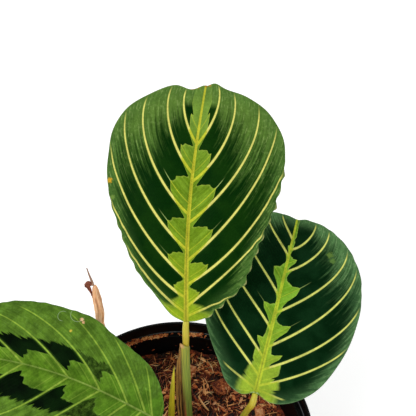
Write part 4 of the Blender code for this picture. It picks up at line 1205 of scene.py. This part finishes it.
DARK_DRY = dry_material("dry leaf curl, dark brown", "3c160e", "84402a", "c07e58")
curl_mesh = sweep("dead_curl", through(CURL_ROUTE, 10) * MM, curl_radius, sides=14)
piece("dead_curl", curl_mesh, DARK_DRY, ["dead_stalk_curl"])
WHISKER_ROUTE = [(-33.8, 36.8, 154.9), (-34.0, 37.4, 156.2), (-35.0, 38.9, 158.9), (-35.9, 40.4, 161.9)]
whisker_mesh = sweep("dead_whisker", through(WHISKER_ROUTE, 8) * MM,
                     lambda t, angle: (0.62 - 0.40 * t) * MM, sides=10)
DRY_HAIR = dry_material("dry fibre, grey brown", "6a4034", "a0785e", "c4a088")
piece("dead_whisker", whisker_mesh, DRY_HAIR, ["dead_stalk_whisker"])
print("dead stalk, curl and whisker")

# %% [markdown]
# ## The pot
#
# Thin nursery pots are thermoformed or injection moulded in black polypropylene. It is a satin plastic,
# IOR 1.49, with faint rings from the mould and a film of dust. The shape is turned: a profile on the
# axis and a Screw modifier. The drain holes are cut with a Boolean.

# %% Pot
POT_HEIGHT, RIM_RADIUS, BASE_RADIUS = 92.0, 60.0, 42.0
WALL, FLOOR, COLLAR_HEIGHT, COLLAR_STEP = 1.4, 1.6, 8.5, 2.2
LEDGE_MM = POT_HEIGHT - COLLAR_HEIGHT + WALL
DRAIN_HOLES, HOLE_RADIUS, HOLE_CIRCLE = 8, 4.0, 30.0


def wall_radius(z):
    """Outer radius of the plain wall at a height, in millimetres."""
    return BASE_RADIUS + (RIM_RADIUS - COLLAR_STEP - 0.6 - BASE_RADIUS) * z / (POT_HEIGHT - COLLAR_HEIGHT)


def arc(centre, radius, start, end, steps=6):
    """A round corner of the profile, in (radius, height)."""
    angles = [math.radians(start + (end - start) * i / steps) for i in range(steps + 1)]
    return [(centre[0] + radius * math.cos(a), centre[1] + radius * math.sin(a)) for a in angles]


def pot_profile():
    step_z = POT_HEIGHT - COLLAR_HEIGHT
    ledge = step_z + WALL
    inner = RIM_RADIUS - WALL
    low, high = wall_radius(4.0), wall_radius(step_z)
    profile = [(0.0, FLOOR), (BASE_RADIUS - WALL - 2.5, FLOOR)]
    profile += [(low - WALL - 0.5, 2.6), (low - WALL, 4.0), (high - WALL, ledge - 0.5)]
    profile += arc((high - WALL + 0.5, ledge - 0.5), 0.5, 180, 90)
    profile += [(inner - 0.6, ledge), (inner - 0.15, ledge + 0.4), (inner, POT_HEIGHT - 0.7)]
    profile += arc((RIM_RADIUS - WALL / 2, POT_HEIGHT - 0.7), 0.7, 180, 0, 10)
    profile += [(RIM_RADIUS, POT_HEIGHT - 2.0), (RIM_RADIUS - 0.5, POT_HEIGHT - 2.6)]
    profile += [(RIM_RADIUS - 0.6, step_z + 0.4), (RIM_RADIUS - 1.0, step_z), (high + 0.3, step_z)]
    profile += [(high, step_z - 0.4), (wall_radius(2.2), 2.2)]
    profile += arc((BASE_RADIUS - 1.2, 1.2), 1.2, 0, -90)
    return profile + [(0.0, 0.0)]


print(len(pot_profile()), "points in the pot's profile")

# %% [markdown]
# Spinning the profile makes the shell. The plastic is black polypropylene, so its base colour is nearly
# black and what the eye sees is gloss: rings left by the mould, a film of dust that dulls it, a few
# crumbs, and a painted highlight along the ledge.

# %% Turning, and the plastic
def turned(name, profile, segments):
    """A mesh turned from a profile given in millimetres, axis first and last."""
    bm = bmesh.new()
    verts = [bm.verts.new((r * MM, 0.0, z * MM)) for r, z in profile]
    edges = [bm.edges.new(pair) for pair in zip(verts, verts[1:])]
    bmesh.ops.spin(bm, geom=verts + edges, axis=(0, 0, 1), cent=(0, 0, 0), angle=2 * math.pi,
                   steps=segments, use_merge=True)
    bmesh.ops.remove_doubles(bm, verts=bm.verts, dist=0.000005)
    bmesh.ops.recalc_face_normals(bm, faces=bm.faces)
    mesh = bpy.data.meshes.new(name)
    bm.to_mesh(mesh)
    bm.free()
    mesh.shade_smooth()
    mesh.set_sharp_from_angle(angle=math.radians(35))
    return mesh


def pot_material(name):
    """Black moulded polypropylene with mould rings, fine scratches and dust."""
    material, tree, shader = new_material(name)
    place_node = add(tree, "TexCoord", out=3)
    squashed = add(tree, "Mapping", {"Vector": place_node, "Scale": (8, 8, 900)})
    rings = add(tree, "TexNoise", {"Vector": squashed, "Scale": 1.0, "Detail": 3.0})
    skin = add(tree, "TexNoise", {"Vector": place_node, "Scale": 1400.0, "Detail": 3.0})
    dust = add(tree, "TexNoise", {"Vector": place_node, "Scale": 70.0, "Detail": 6.0, "Roughness": 0.7})
    speck = add(tree, "TexNoise", {"Vector": place_node, "Scale": 420.0, "Detail": 2.0})
    film = add(tree, "MapRange", [dust, 0.45, 0.72, 0.0, 0.35])
    crumbs = add(tree, "MapRange", [speck, 0.70, 0.76, 0.0, 0.5])
    colour = add(tree, "MixRGB", [film, linear("030304"), linear("0d0d0e")])
    colour = add(tree, "MixRGB", [crumbs, colour, linear("3a2a1e")])
    height_m = add(tree, "SeparateXYZ", [place_node], out=2)
    # painted highlight: a thin pale grey line at the ledge's height, where the ledge's edge catches the
    # light, broken up by the dust
    pale_mark = add(tree, "Math COMPARE", [height_m, LEDGE_MM * MM + 0.0004, 0.0002])
    pale_mark = add(tree, "Math MULTIPLY", [pale_mark, add(tree, "MapRange", [dust, 0.4, 0.6, 0.3, 1.0])])
    colour = add(tree, "MixRGB", [pale_mark, colour, linear("6c6d70")])
    roughness = add(tree, "MapRange", [dust, 0.35, 0.7, 0.34, 0.58])
    height = add(tree, "Math ADD", [add(tree, "Math MULTIPLY", [rings, 0.6]),
                                    add(tree, "Math MULTIPLY", [skin, 0.25])])
    shader.inputs["IOR"].default_value = 1.49
    shader.inputs["Specular IOR Level"].default_value = 0.16
    finish_material(tree, shader, colour, roughness, height, depth_mm=0.05)
    return material


print("pot material is ready")

# %% [markdown]
# Eight round holes in the floor let the water out. Each is cut by a cylinder, and the cut mesh is kept,
# so that the cylinders can go.

# %% Pot with its drain holes
POT_PLASTIC = pot_material("polypropylene, black and moulded")
pot = piece("pot_shell", turned("pot_shell", pot_profile(), 180), POT_PLASTIC, ["nursery_pot"])
for i in range(DRAIN_HOLES):
    bm = bmesh.new()
    bmesh.ops.create_cone(bm, cap_ends=True, segments=32, radius1=HOLE_RADIUS * MM,
                          radius2=HOLE_RADIUS * MM, depth=6.0 * MM)
    drill_mesh = bpy.data.meshes.new("drill")
    bm.to_mesh(drill_mesh)
    bm.free()
    drill = bpy.data.objects.new(f"drill_{i}", drill_mesh)
    bpy.context.scene.collection.objects.link(drill)
    angle = 2 * math.pi * i / DRAIN_HOLES
    drill.location = (HOLE_CIRCLE * MM * math.cos(angle), HOLE_CIRCLE * MM * math.sin(angle), 0.5 * MM)
    drill.hide_render = drill.hide_viewport = True
    hole = pot.modifiers.new(drill.name, "BOOLEAN")
    hole.object = drill
bpy.context.view_layer.update()
drilled = bpy.data.meshes.new_from_object(pot.evaluated_get(bpy.context.evaluated_depsgraph_get()))
pot.modifiers.clear()
pot.data = drilled
for drill in [o for o in bpy.data.objects if o.name.startswith("drill_")]:
    bpy.data.objects.remove(drill)
print(pot.name, len(pot.data.polygons), "faces")

# %% [markdown]
# ## The growing mix
#
# Potting mix for these plants is coir, which is short coconut fibre and dust, with bark. Seen close it
# is a tangle: reddish brown crumbs, split fibres from straw to chocolate, and dark gaps between them. A
# bumpy plug gives the ground. Over it lie a few thousand loose bits in three kinds: crumbs, fibres and
# flakes. They are joined into one mesh for each kind, and a number on each bit gives it its own brown.

# %% Ground of the mix
SOIL_EDGE, SOIL_DOME, SOIL_WAVE = 73.0, 1.6, 0.7     # height at the wall, rise to the middle, waves
HEAPED_MM = 3.6                 # extra height against the back wall
SOIL_RADIUS = wall_radius(SOIL_EDGE) - WALL - 0.15


def soil_height(x, y):
    """Height of the mix's top in millimetres, as on its solid."""
    share = min(math.hypot(x, y) / SOIL_RADIUS, 1.0)
    wave = (math.sin(0.21 * x + 1.3) * math.cos(0.17 * y - 0.6) + 0.6 * math.sin(0.33 * (x + y) + 2.0))
    return SOIL_EDGE + SOIL_DOME * (1.0 - share ** 2) + SOIL_WAVE * wave * (1.0 - share ** 6)


def heaped(y):
    """How far the mix is heaped up towards the back wall, in millimetres."""
    return HEAPED_MM * float(smooth_step(18.0, 50.0, y))


def lumps(x, y):
    """Clods and pits over that, from a wide and a narrow noise, and the heap."""
    wide = noise.noise(Vector((0.13 * x, 0.13 * y, 1.0)))
    narrow = noise.turbulence(Vector((0.5 * x, 0.5 * y, 4.0)), 3, False)
    return 1.3 * wide + 1.7 * (narrow - 0.4) + heaped(y)


def ground_mesh():
    rings = 110
    profile = [(0.0, 2.0), (wall_radius(4.0) - WALL - 3.0, 2.0), (wall_radius(4.5) - WALL - 0.2, 4.5)]
    profile += [(SOIL_RADIUS * (1.0 - k / rings), SOIL_EDGE) for k in range(rings)] + [(0.0, SOIL_EDGE)]
    mesh = turned("mix_ground", profile, 200)
    for vert in mesh.vertices:
        if vert.co.z > (SOIL_EDGE - 1.0) * MM:
            x, y = vert.co.x / MM, vert.co.y / MM
            vert.co.z = (soil_height(x, y) + lumps(x, y) - 0.5) * MM
    return mesh


def mix_material(name):
    """Coir dust and crumbs: red brown grains, with painted shade darkening each grain towards its edge."""
    material, tree, shader = new_material(name)
    spot = add(tree, "TexCoord", out=3)
    grain = add(tree, "TexVoronoi", {"Vector": spot, "Scale": 620.0, "Randomness": 1.0})
    coarse = add(tree, "TexNoise", {"Vector": spot, "Scale": 160.0, "Detail": 6.0, "Roughness": 0.7})
    colour = add(tree, "ValToRGB", [coarse], stops=[
        (0.38, "050201"), (0.5, "44160a"), (0.6, "a0401e"), (0.74, "e08044")])
    # painted shade between the grains: darker away from each grain's middle
    gap_shade = add(tree, "MapRange", [grain, 0.2, 0.8, 1.1, 0.35])
    colour = add(tree, "MixRGB MULTIPLY", [1.0, colour, add(tree, "CombineColor", [gap_shade] * 3)])
    height = add(tree, "Math SUBTRACT", [coarse, grain])
    finish_material(tree, shader, colour, 0.95, height, depth_mm=0.9)
    return material


MIX = mix_material("coir and bark mix, moist")
ground = piece("mix_ground", ground_mesh(), MIX, ["growing_mix"])
print(ground.name, len(ground.data.polygons), "faces")

# %% Loose bits of the mix
def bit_material(name, stops, rough=0.9, depth=0.3, scale=900.0, vary=0.2):
    """Bark or fibre, each bit with its own colour from the ramp."""
    material, tree, shader = new_material(name)
    tint = add(tree, "Attribute tint", out=2)
    spot = add(tree, "TexCoord", out=3)
    grain = add(tree, "TexNoise", {"Vector": spot, "Scale": scale, "Detail": 4.0, "Roughness": 0.7})
    uneven = add(tree, "MapRange", [grain, 0.3, 0.7, -vary, vary])
    shifted = add(tree, "Math ADD", [tint, uneven])
    colour = add(tree, "ValToRGB", [shifted], stops=stops)
    finish_material(tree, shader, colour, rough, grain, depth_mm=depth)
    return material


print("bit material is ready")

# %% [markdown]
# A crumb is a dented ball of twenty faces, and a fibre is a bent three-sided stick. Each alone is crude,
# but they are a millimetre small, and thousands of them make the tangle.

# %% Shapes of the bits
class Heap:
    """Collects many small closed bits into one mesh, with one tint for each bit."""

    def __init__(self):
        self.verts, self.faces, self.tints = [], [], []

    def add(self, verts, faces, tint):
        start = len(self.verts)
        self.verts += [tuple(v) for v in verts]
        self.faces += [[start + i for i in face] for face in faces]
        self.tints += [tint] * len(verts)

    def mesh(self, name):
        mesh = bpy.data.meshes.new(name)
        mesh.from_pydata(self.verts, [], self.faces)
        remember(mesh, tint=self.tints)
        return mesh


def crumb(rng, centre, size, flat=0.7):
    """An irregular lump: a small ball of twenty faces, stretched and dented."""
    bm = bmesh.new()
    bmesh.ops.create_icosphere(bm, subdivisions=1, radius=1.0)
    turn = Matrix.Rotation(rng.uniform(0, 6.28), 3, "Z") @ Matrix.Rotation(rng.uniform(-0.6, 0.6), 3, "X")
    stretch = Vector((rng.uniform(0.7, 2.0), rng.uniform(0.4, 0.9), flat * rng.uniform(0.5, 1.0)))
    seed = rng.uniform(0, 100)
    verts = []
    for v in bm.verts:
        dent = 1.0 + 0.45 * noise.noise(v.co * 1.7 + Vector((seed, 0, 0)))
        verts.append(turn @ Vector([c * s * dent * size for c, s in zip(v.co, stretch)]) + centre)
    faces = [[v.index for v in f.verts] for f in bm.faces]
    bm.free()
    return verts, faces


def fibre(start, heading, length, radius, bend, dip):
    """A thin curved fibre with three sides."""
    steps = 5
    side = Vector((-heading.y, heading.x, 0.0)).normalized()
    verts = []
    for i in range(steps + 1):
        s = i / steps
        middle = start + heading * (length * (s - 0.5)) + side * bend * length * math.sin(math.pi * s)
        middle.z += dip * (4 * s * (1 - s) - 0.5)
        thin = radius * (1.0 - 0.6 * abs(2 * s - 1) ** 2)
        for k in range(3):
            a = 2.1 * k + 0.8 * s
            verts.append(middle + side * math.cos(a) * thin + Vector((0, 0, 1)) * math.sin(a) * thin)
    faces = [[3 * i + k, 3 * i + (k + 1) % 3, 3 * i + 3 + (k + 1) % 3, 3 * i + 3 + k]
             for i in range(steps) for k in range(3)]
    return verts, faces + [[2, 1, 0], [3 * steps, 3 * steps + 1, 3 * steps + 2]]


print("one crumb has", len(crumb(random.Random(1), Vector(), MM)[1]), "faces")

# %% [markdown]
# The bits are scattered at random, with a fixed seed, so that every run gives the same heap. They keep
# clear of the stems. A bit's tint carries painted light and shade: paler on a clod, darker in a pit.

# %% Places of the bits
# where the stems come out of the mix: x, y and the radius to keep clear
STEMS_AT_SOIL = [(5.6, 2.1, 3.4), (-3.9, 2.1, 2.6), (15.0, 1.0, 3.8), (0.6, -7.2, 3.2), (-3.4, 11.2, 3.0)]


def random_spot(rng, margin_mm):
    """A place on the mix, clear of the stems."""
    while True:
        r = (SOIL_RADIUS - margin_mm) * math.sqrt(rng.random())
        a = rng.uniform(0, 2 * math.pi)
        x, y = r * math.cos(a), r * math.sin(a)
        if all(math.hypot(x - sx, y - sy) > clear for sx, sy, clear in STEMS_AT_SOIL):
            return x, y


def shade_by_height(x, y, tint):
    """Paints light and shade into a bit's tint by the mix's height: paler on the clods and darker in the
    pits.
    """
    height = lumps(x, y) - heaped(y)
    # painted light and shade: higher places paler, lower places darker
    return min(max(0.28 + 0.74 * tint + 0.48 * height, 0.0), 1.0)


print("a middling bit's tint at the middle of the pot", round(shade_by_height(0.0, 0.0, 0.5), 2))

# %% [markdown]
# Crumbs first, most of them small and a few large, then fibres that lie at every angle, then flakes of
# bark that lie flat.

# %% Scatter
CRUMBS, FIBRES, FLAKES, WALL_CRUMBS, LEDGE_CRUMBS, LEDGE_STRAWS = 5200, 4200, 300, 26, 620, 14
rng = random.Random(11)
crumbs, fibres, flakes = Heap(), Heap(), Heap()
for _ in range(CRUMBS):
    size = 0.22 + 1.1 * rng.random() ** 4
    x, y = random_spot(rng, 1.2 + size)
    z = soil_height(x, y) + lumps(x, y) - 0.5 + 0.25 * size
    crumbs.add(*crumb(rng, Vector((x, y, z)) * MM, size * MM), shade_by_height(x, y, rng.random()))
for _ in range(FIBRES):
    length = rng.uniform(1.6, 6.5)
    x, y = random_spot(rng, 1.0 + length / 2)
    a = rng.uniform(0, 2 * math.pi)
    heading = Vector((math.cos(a), math.sin(a), rng.uniform(-0.25, 0.35)))
    z = soil_height(x, y) + lumps(x, y) + rng.uniform(-0.1, 0.5)
    fibres.add(*fibre(Vector((x, y, z)) * MM, heading, length * MM, rng.uniform(0.07, 0.26) * MM,
                      rng.uniform(-0.1, 0.1), rng.uniform(-0.4, 0.9) * MM), shade_by_height(x, y, rng.random() ** 1.4))
for _ in range(FLAKES):
    size = rng.uniform(0.7, 2.1)
    x, y = random_spot(rng, 1.2 + 1.4 * size)
    z = soil_height(x, y) + lumps(x, y) - 0.1
    flakes.add(*crumb(rng, Vector((x, y, z)) * MM, size * MM, flat=0.28), shade_by_height(x, y, rng.random()))
print(len(crumbs.faces), "crumb faces and", len(fibres.faces), "fibre faces on the mix")

# %% [markdown]
# Watering and potting throw some of the mix up: a few crumbs stick to the wall above it, and clumps of
# them lie on the ledge under the rim, with some straws.

# %% Crumbs on the wall and the ledge
for _ in range(WALL_CRUMBS):
    a = math.radians(rng.uniform(35.0, 150.0))
    z = 76.5 + 7.5 * rng.random()
    size = rng.uniform(0.3, 0.7)
    r = wall_radius(z) - WALL - 0.35 * size
    spot = Vector((r * math.cos(a), r * math.sin(a), z))
    crumbs.add(*crumb(rng, spot * MM, size * MM), rng.uniform(0.1, 0.6))

# clumps on the pot's ledge: where round the rim, and how widely they scatter, in degrees
LEDGE_CLUMPS = [(62.0, 5.0), (84.0, 3.0), (101.0, 3.0), (108.0, 4.0), (115.0, 4.0), (140.0, 5.0)]
for _ in range(LEDGE_CRUMBS):
    middle, spread = rng.choice(LEDGE_CLUMPS)
    a = math.radians(rng.gauss(middle, spread))
    size = rng.uniform(0.2, 0.62)
    r = rng.uniform(wall_radius(POT_HEIGHT - COLLAR_HEIGHT) - WALL + 0.4, RIM_RADIUS - WALL - 0.8)
    spot = Vector((r * math.cos(a), r * math.sin(a), LEDGE_MM + 0.4 * size))
    crumbs.add(*crumb(rng, spot * MM, size * MM), rng.uniform(0.4, 1.0))
for _ in range(LEDGE_STRAWS):
    a = math.radians(rng.uniform(110.0, 124.0))
    heading = Vector((rng.uniform(-1.0, 1.0), rng.uniform(-1.0, 0.6), rng.uniform(-0.2, 0.7)))
    r = RIM_RADIUS - WALL - 2.6
    spot = Vector((r * math.cos(a), r * math.sin(a), LEDGE_MM + 1.0))
    fibres.add(*fibre(spot * MM, heading, rng.uniform(1.5, 4.5) * MM, rng.uniform(0.1, 0.22) * MM,
                      rng.uniform(-0.2, 0.2), 0.0), rng.uniform(0.2, 0.8))
print(len(crumbs.faces), "crumb faces in all")

# %% [markdown]
# Three browns for the bits, and every bit's tint also carries painted light and shade, paler on the clods
# and darker in the pits. Coir crumbs are dull and dusty, red brown when damp and tan when dry. A coir
# fibre is smoother, so it shines a little along its length. Composted bark is split wood with a coarse
# grain, so its colour changes most within one bit.

# %% Colours of the bits
CRUMB_BROWN = bit_material("coir crumb, red brown", [
    (0.0, "070201"), (0.24, "4c1a0c"), (0.5, "b04c22"), (0.74, "e68448"), (1.0, "ffba7c")])
FIBRE_STRAW = bit_material("coir fibre, straw to chocolate",
                           [(0.0, "1a0804"), (0.24, "8c3618"), (0.5, "dc8244"), (0.76, "ffb872"),
                            (1.0, "ffd49a")], rough=0.6, depth=0.1)
BARK_BROWN = bit_material("composted bark, split", [
    (0.0, "0c0302"), (0.34, "702812"), (0.64, "c86c36"), (1.0, "f4b484")], depth=0.9, scale=700.0, vary=0.45)
for heap, name, material, slot in ((crumbs, "mix_crumbs", CRUMB_BROWN, "growing_mix"),
                                   (fibres, "mix_fibres", FIBRE_STRAW, "coir_straw"),
                                   (flakes, "mix_flakes", BARK_BROWN, "bark")):
    obj = piece(name, heap.mesh(name), material)
    print(obj.name, len(obj.data.polygons), "faces")

# %% [markdown]
# The larger loose pieces have solids of their own: nine chips of bark, six long coir fibres and two
# crumbs on the pot's inner ledge. A chip is split wood, so its mesh is a block whose grain runs along
# it: rows of points pushed in and out together, with ragged ends.

# %% Bark chips and long fibres
CHIP_TURNS = [25.0, 110.0, 160.0, 65.0, 40.0, 12.0, 78.0, 140.0, 100.0]     # degrees
CHIP_SINK_MM = 2.6              # how deep a chip lies among the crumbs
# long fibres: x, y and length in millimetres, and the heading in degrees
LONG_FIBRES = [(11.5, 25.0, 9.0, 128.0), (20.5, 17.5, 6.5, 25.0), (-8.5, 17.5, 10.0, 62.0),
               (-24.0, 5.0, 12.0, 15.0), (28.0, -28.0, 11.0, 150.0), (-14.0, -29.0, 9.0, 95.0)]


def chip(name, low, high, turn, seed):
    """Split bark inside a solid's box: grain along it, ragged ends, rounded corners."""
    centre = [(a + b) / 2 for a, b in zip(low, high)]
    bm = bmesh.new()
    bmesh.ops.create_cube(bm, size=2.0)
    bmesh.ops.subdivide_edges(bm, edges=bm.edges, cuts=9, use_grid_fill=True)
    verts = []
    for v in bm.verts:
        p = v.co.copy()
        p = p.lerp(p.normalized() * 1.15, 0.45)
        grain_move = 0.34 * noise.noise(Vector((0.5 * p.x, 4.0 * p.y, 4.0 * p.z + seed)))
        ragged = 0.25 * noise.noise(Vector((seed, 5.0 * p.y, 5.0 * p.z)))
        verts.append((p.x * (0.9 + ragged), p.y * (0.85 + grain_move), p.z * (0.8 + 1.4 * grain_move)))
    for v, co in zip(bm.verts, verts):
        v.co = co
    mesh = bpy.data.meshes.new(name)
    bm.to_mesh(mesh)
    bm.free()
    points = np.array([v.co for v in mesh.vertices])
    turned_points = points @ np.array(Matrix.Rotation(turn, 3, "Z")).T
    size = np.array(high) - np.array(low)
    length, width, thick = turned_points.max(0) - turned_points.min(0)
    scale = np.array([size[0] / length, size[1] / width, size[2] / thick])
    middle = (turned_points.max(0) + turned_points.min(0)) / 2
    lift = heaped(centre[1] / MM) - CHIP_SINK_MM if centre[2] < 80 * MM else 0.0
    placed = (turned_points - middle) * scale + np.array(centre) + (0, 0, lift * MM)
    mesh.vertices.foreach_set("co", placed.ravel())
    remember(mesh, tint=[0.38 + 0.1 * (seed % 5)] * len(points))
    mesh.shade_smooth()
    mesh.set_sharp_from_angle(angle=math.radians(40))
    return mesh


print("a chip's tint is one of", [round(0.38 + 0.1 * k, 2) for k in range(5)])

# %% [markdown]
# A chip fills the box of its solid, turned the way the solid is. The long fibres are swept like the
# stalks, along a gentle bow that follows the lumpy ground.

# %% Place the loose pieces
for i, turn in enumerate(CHIP_TURNS, 1):
    low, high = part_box(f"bark_chip_{i}")
    mesh = chip(f"chip_{i}", low, high, math.radians(turn), i)
    piece(f"chip_{i}", mesh, BARK_BROWN, [f"bark_chip_{i}"])
for i in (1, 2):
    low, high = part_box(f"ledge_crumb_{i}")
    mesh = chip(f"ledge_bit_{i}", low, high, 0.4, 20 + i)
    piece(f"ledge_bit_{i}", mesh, BARK_BROWN, [f"ledge_crumb_{i}"])
for i, (x, y, length, turn) in enumerate(LONG_FIBRES, 1):
    heading = Vector((math.cos(math.radians(turn)), math.sin(math.radians(turn)), 0.0))
    route = []
    for k in range(13):
        spot = Vector((x, y, 0.0)) + heading * (k / 12.0 - 0.5) * length
        spot += Vector((-heading.y, heading.x, 0.0)) * 0.8 * math.sin(2.2 * k / 12.0 + i)
        spot.z = soil_height(spot.x, spot.y) + 0.9 + heaped(spot.y)
        route.append(spot * MM)
    mesh = sweep(f"long_fibre_{i}", route, lambda t, angle: (0.42 - 0.25 * (2 * t - 1) ** 2) * MM
                 * (1 + 0.25 * math.sin(2 * angle)), sides=10, rings=24)
    remember(mesh, tint=[0.8] * len(mesh.vertices))
    piece(f"long_fibre_{i}", mesh, FIBRE_STRAW, [f"coir_fibre_{i}"])
print("chips, ledge bits and long fibres placed")

# %% [markdown]
# ## Stage
#
# A plain white floor, soft light from large panels, and one camera that looks down at fifty degrees, as
# one would look at a small pot on a table. The floor glows a little, like a light table, so that it
# stays white where the plant shades it. The Standard view transform keeps whites white, where the
# default one would dim them to grey.

# %% Floor, lights and camera
def floor_material():
    material, tree, shader = new_material("white acrylic, lit from below")
    spot = add(tree, "TexCoord", out=3)
    cloud = add(tree, "TexNoise", {"Vector": spot, "Scale": 3.0, "Detail": 2.0})
    colour = add(tree, "MixRGB", [cloud, linear("fbfbfb"), linear("f6f6f6")])
    shader.inputs["Emission Color"].default_value = linear("ffffff")
    shader.inputs["Emission Strength"].default_value = 0.35
    finish_material(tree, shader, colour, 0.9)
    return material


bm = bmesh.new()
bmesh.ops.create_grid(bm, x_segments=8, y_segments=8, size=12.0)
floor_mesh = bpy.data.meshes.new("floor")
bm.to_mesh(floor_mesh)
bm.free()
floor = bpy.data.objects.new("floor", floor_mesh)
floor.location.z = -0.0005
bpy.context.scene.collection.objects.link(floor)
floor_mesh.materials.append(floor_material())


def panel(name, place_at, aim, size, power):
    """A square light panel that faces a point."""
    light = bpy.data.lights.new(name, "AREA")
    light.size = size
    light.energy = power
    obj = bpy.data.objects.new(name, light)
    obj.location = place_at
    obj.rotation_euler = (Vector(aim) - Vector(place_at)).to_track_quat("-Z", "Y").to_euler()
    bpy.context.scene.collection.objects.link(obj)


PLANT_MIDDLE = (0.0, 0.03, 0.12)
panel("key", (-0.55, -0.55, 1.05), PLANT_MIDDLE, 0.5, 6.5)
panel("back", (0.35, 1.05, 0.95), PLANT_MIDDLE, 0.7, 4.5)
panel("fill", (0.95, -0.35, 0.7), PLANT_MIDDLE, 0.9, 2.0)

world = bpy.data.worlds.new("studio")
world.use_nodes = True
world.node_tree.nodes["Background"].inputs["Color"].default_value = (1.0, 1.0, 1.0, 1.0)
world.node_tree.nodes["Background"].inputs["Strength"].default_value = 0.5
bpy.context.scene.world = world
bpy.context.scene.view_settings.view_transform = "Standard"

CAMERA_AT_MM = (13.35, -175.74, 457.30)
camera_data = bpy.data.cameras.new("camera")
camera_data.lens = 77.88
camera_data.clip_start = 0.01
camera = bpy.data.objects.new("camera", camera_data)
camera.location = Vector(CAMERA_AT_MM) * MM
camera.rotation_euler = (math.radians(40.0), 0.0, 0.0)
bpy.context.scene.collection.objects.link(camera)
bpy.context.scene.camera = camera
print("camera", round((camera.location - Vector(PLANT_MIDDLE)).length, 2), "m from the plant")

# %% The last line
print("the scene is built")
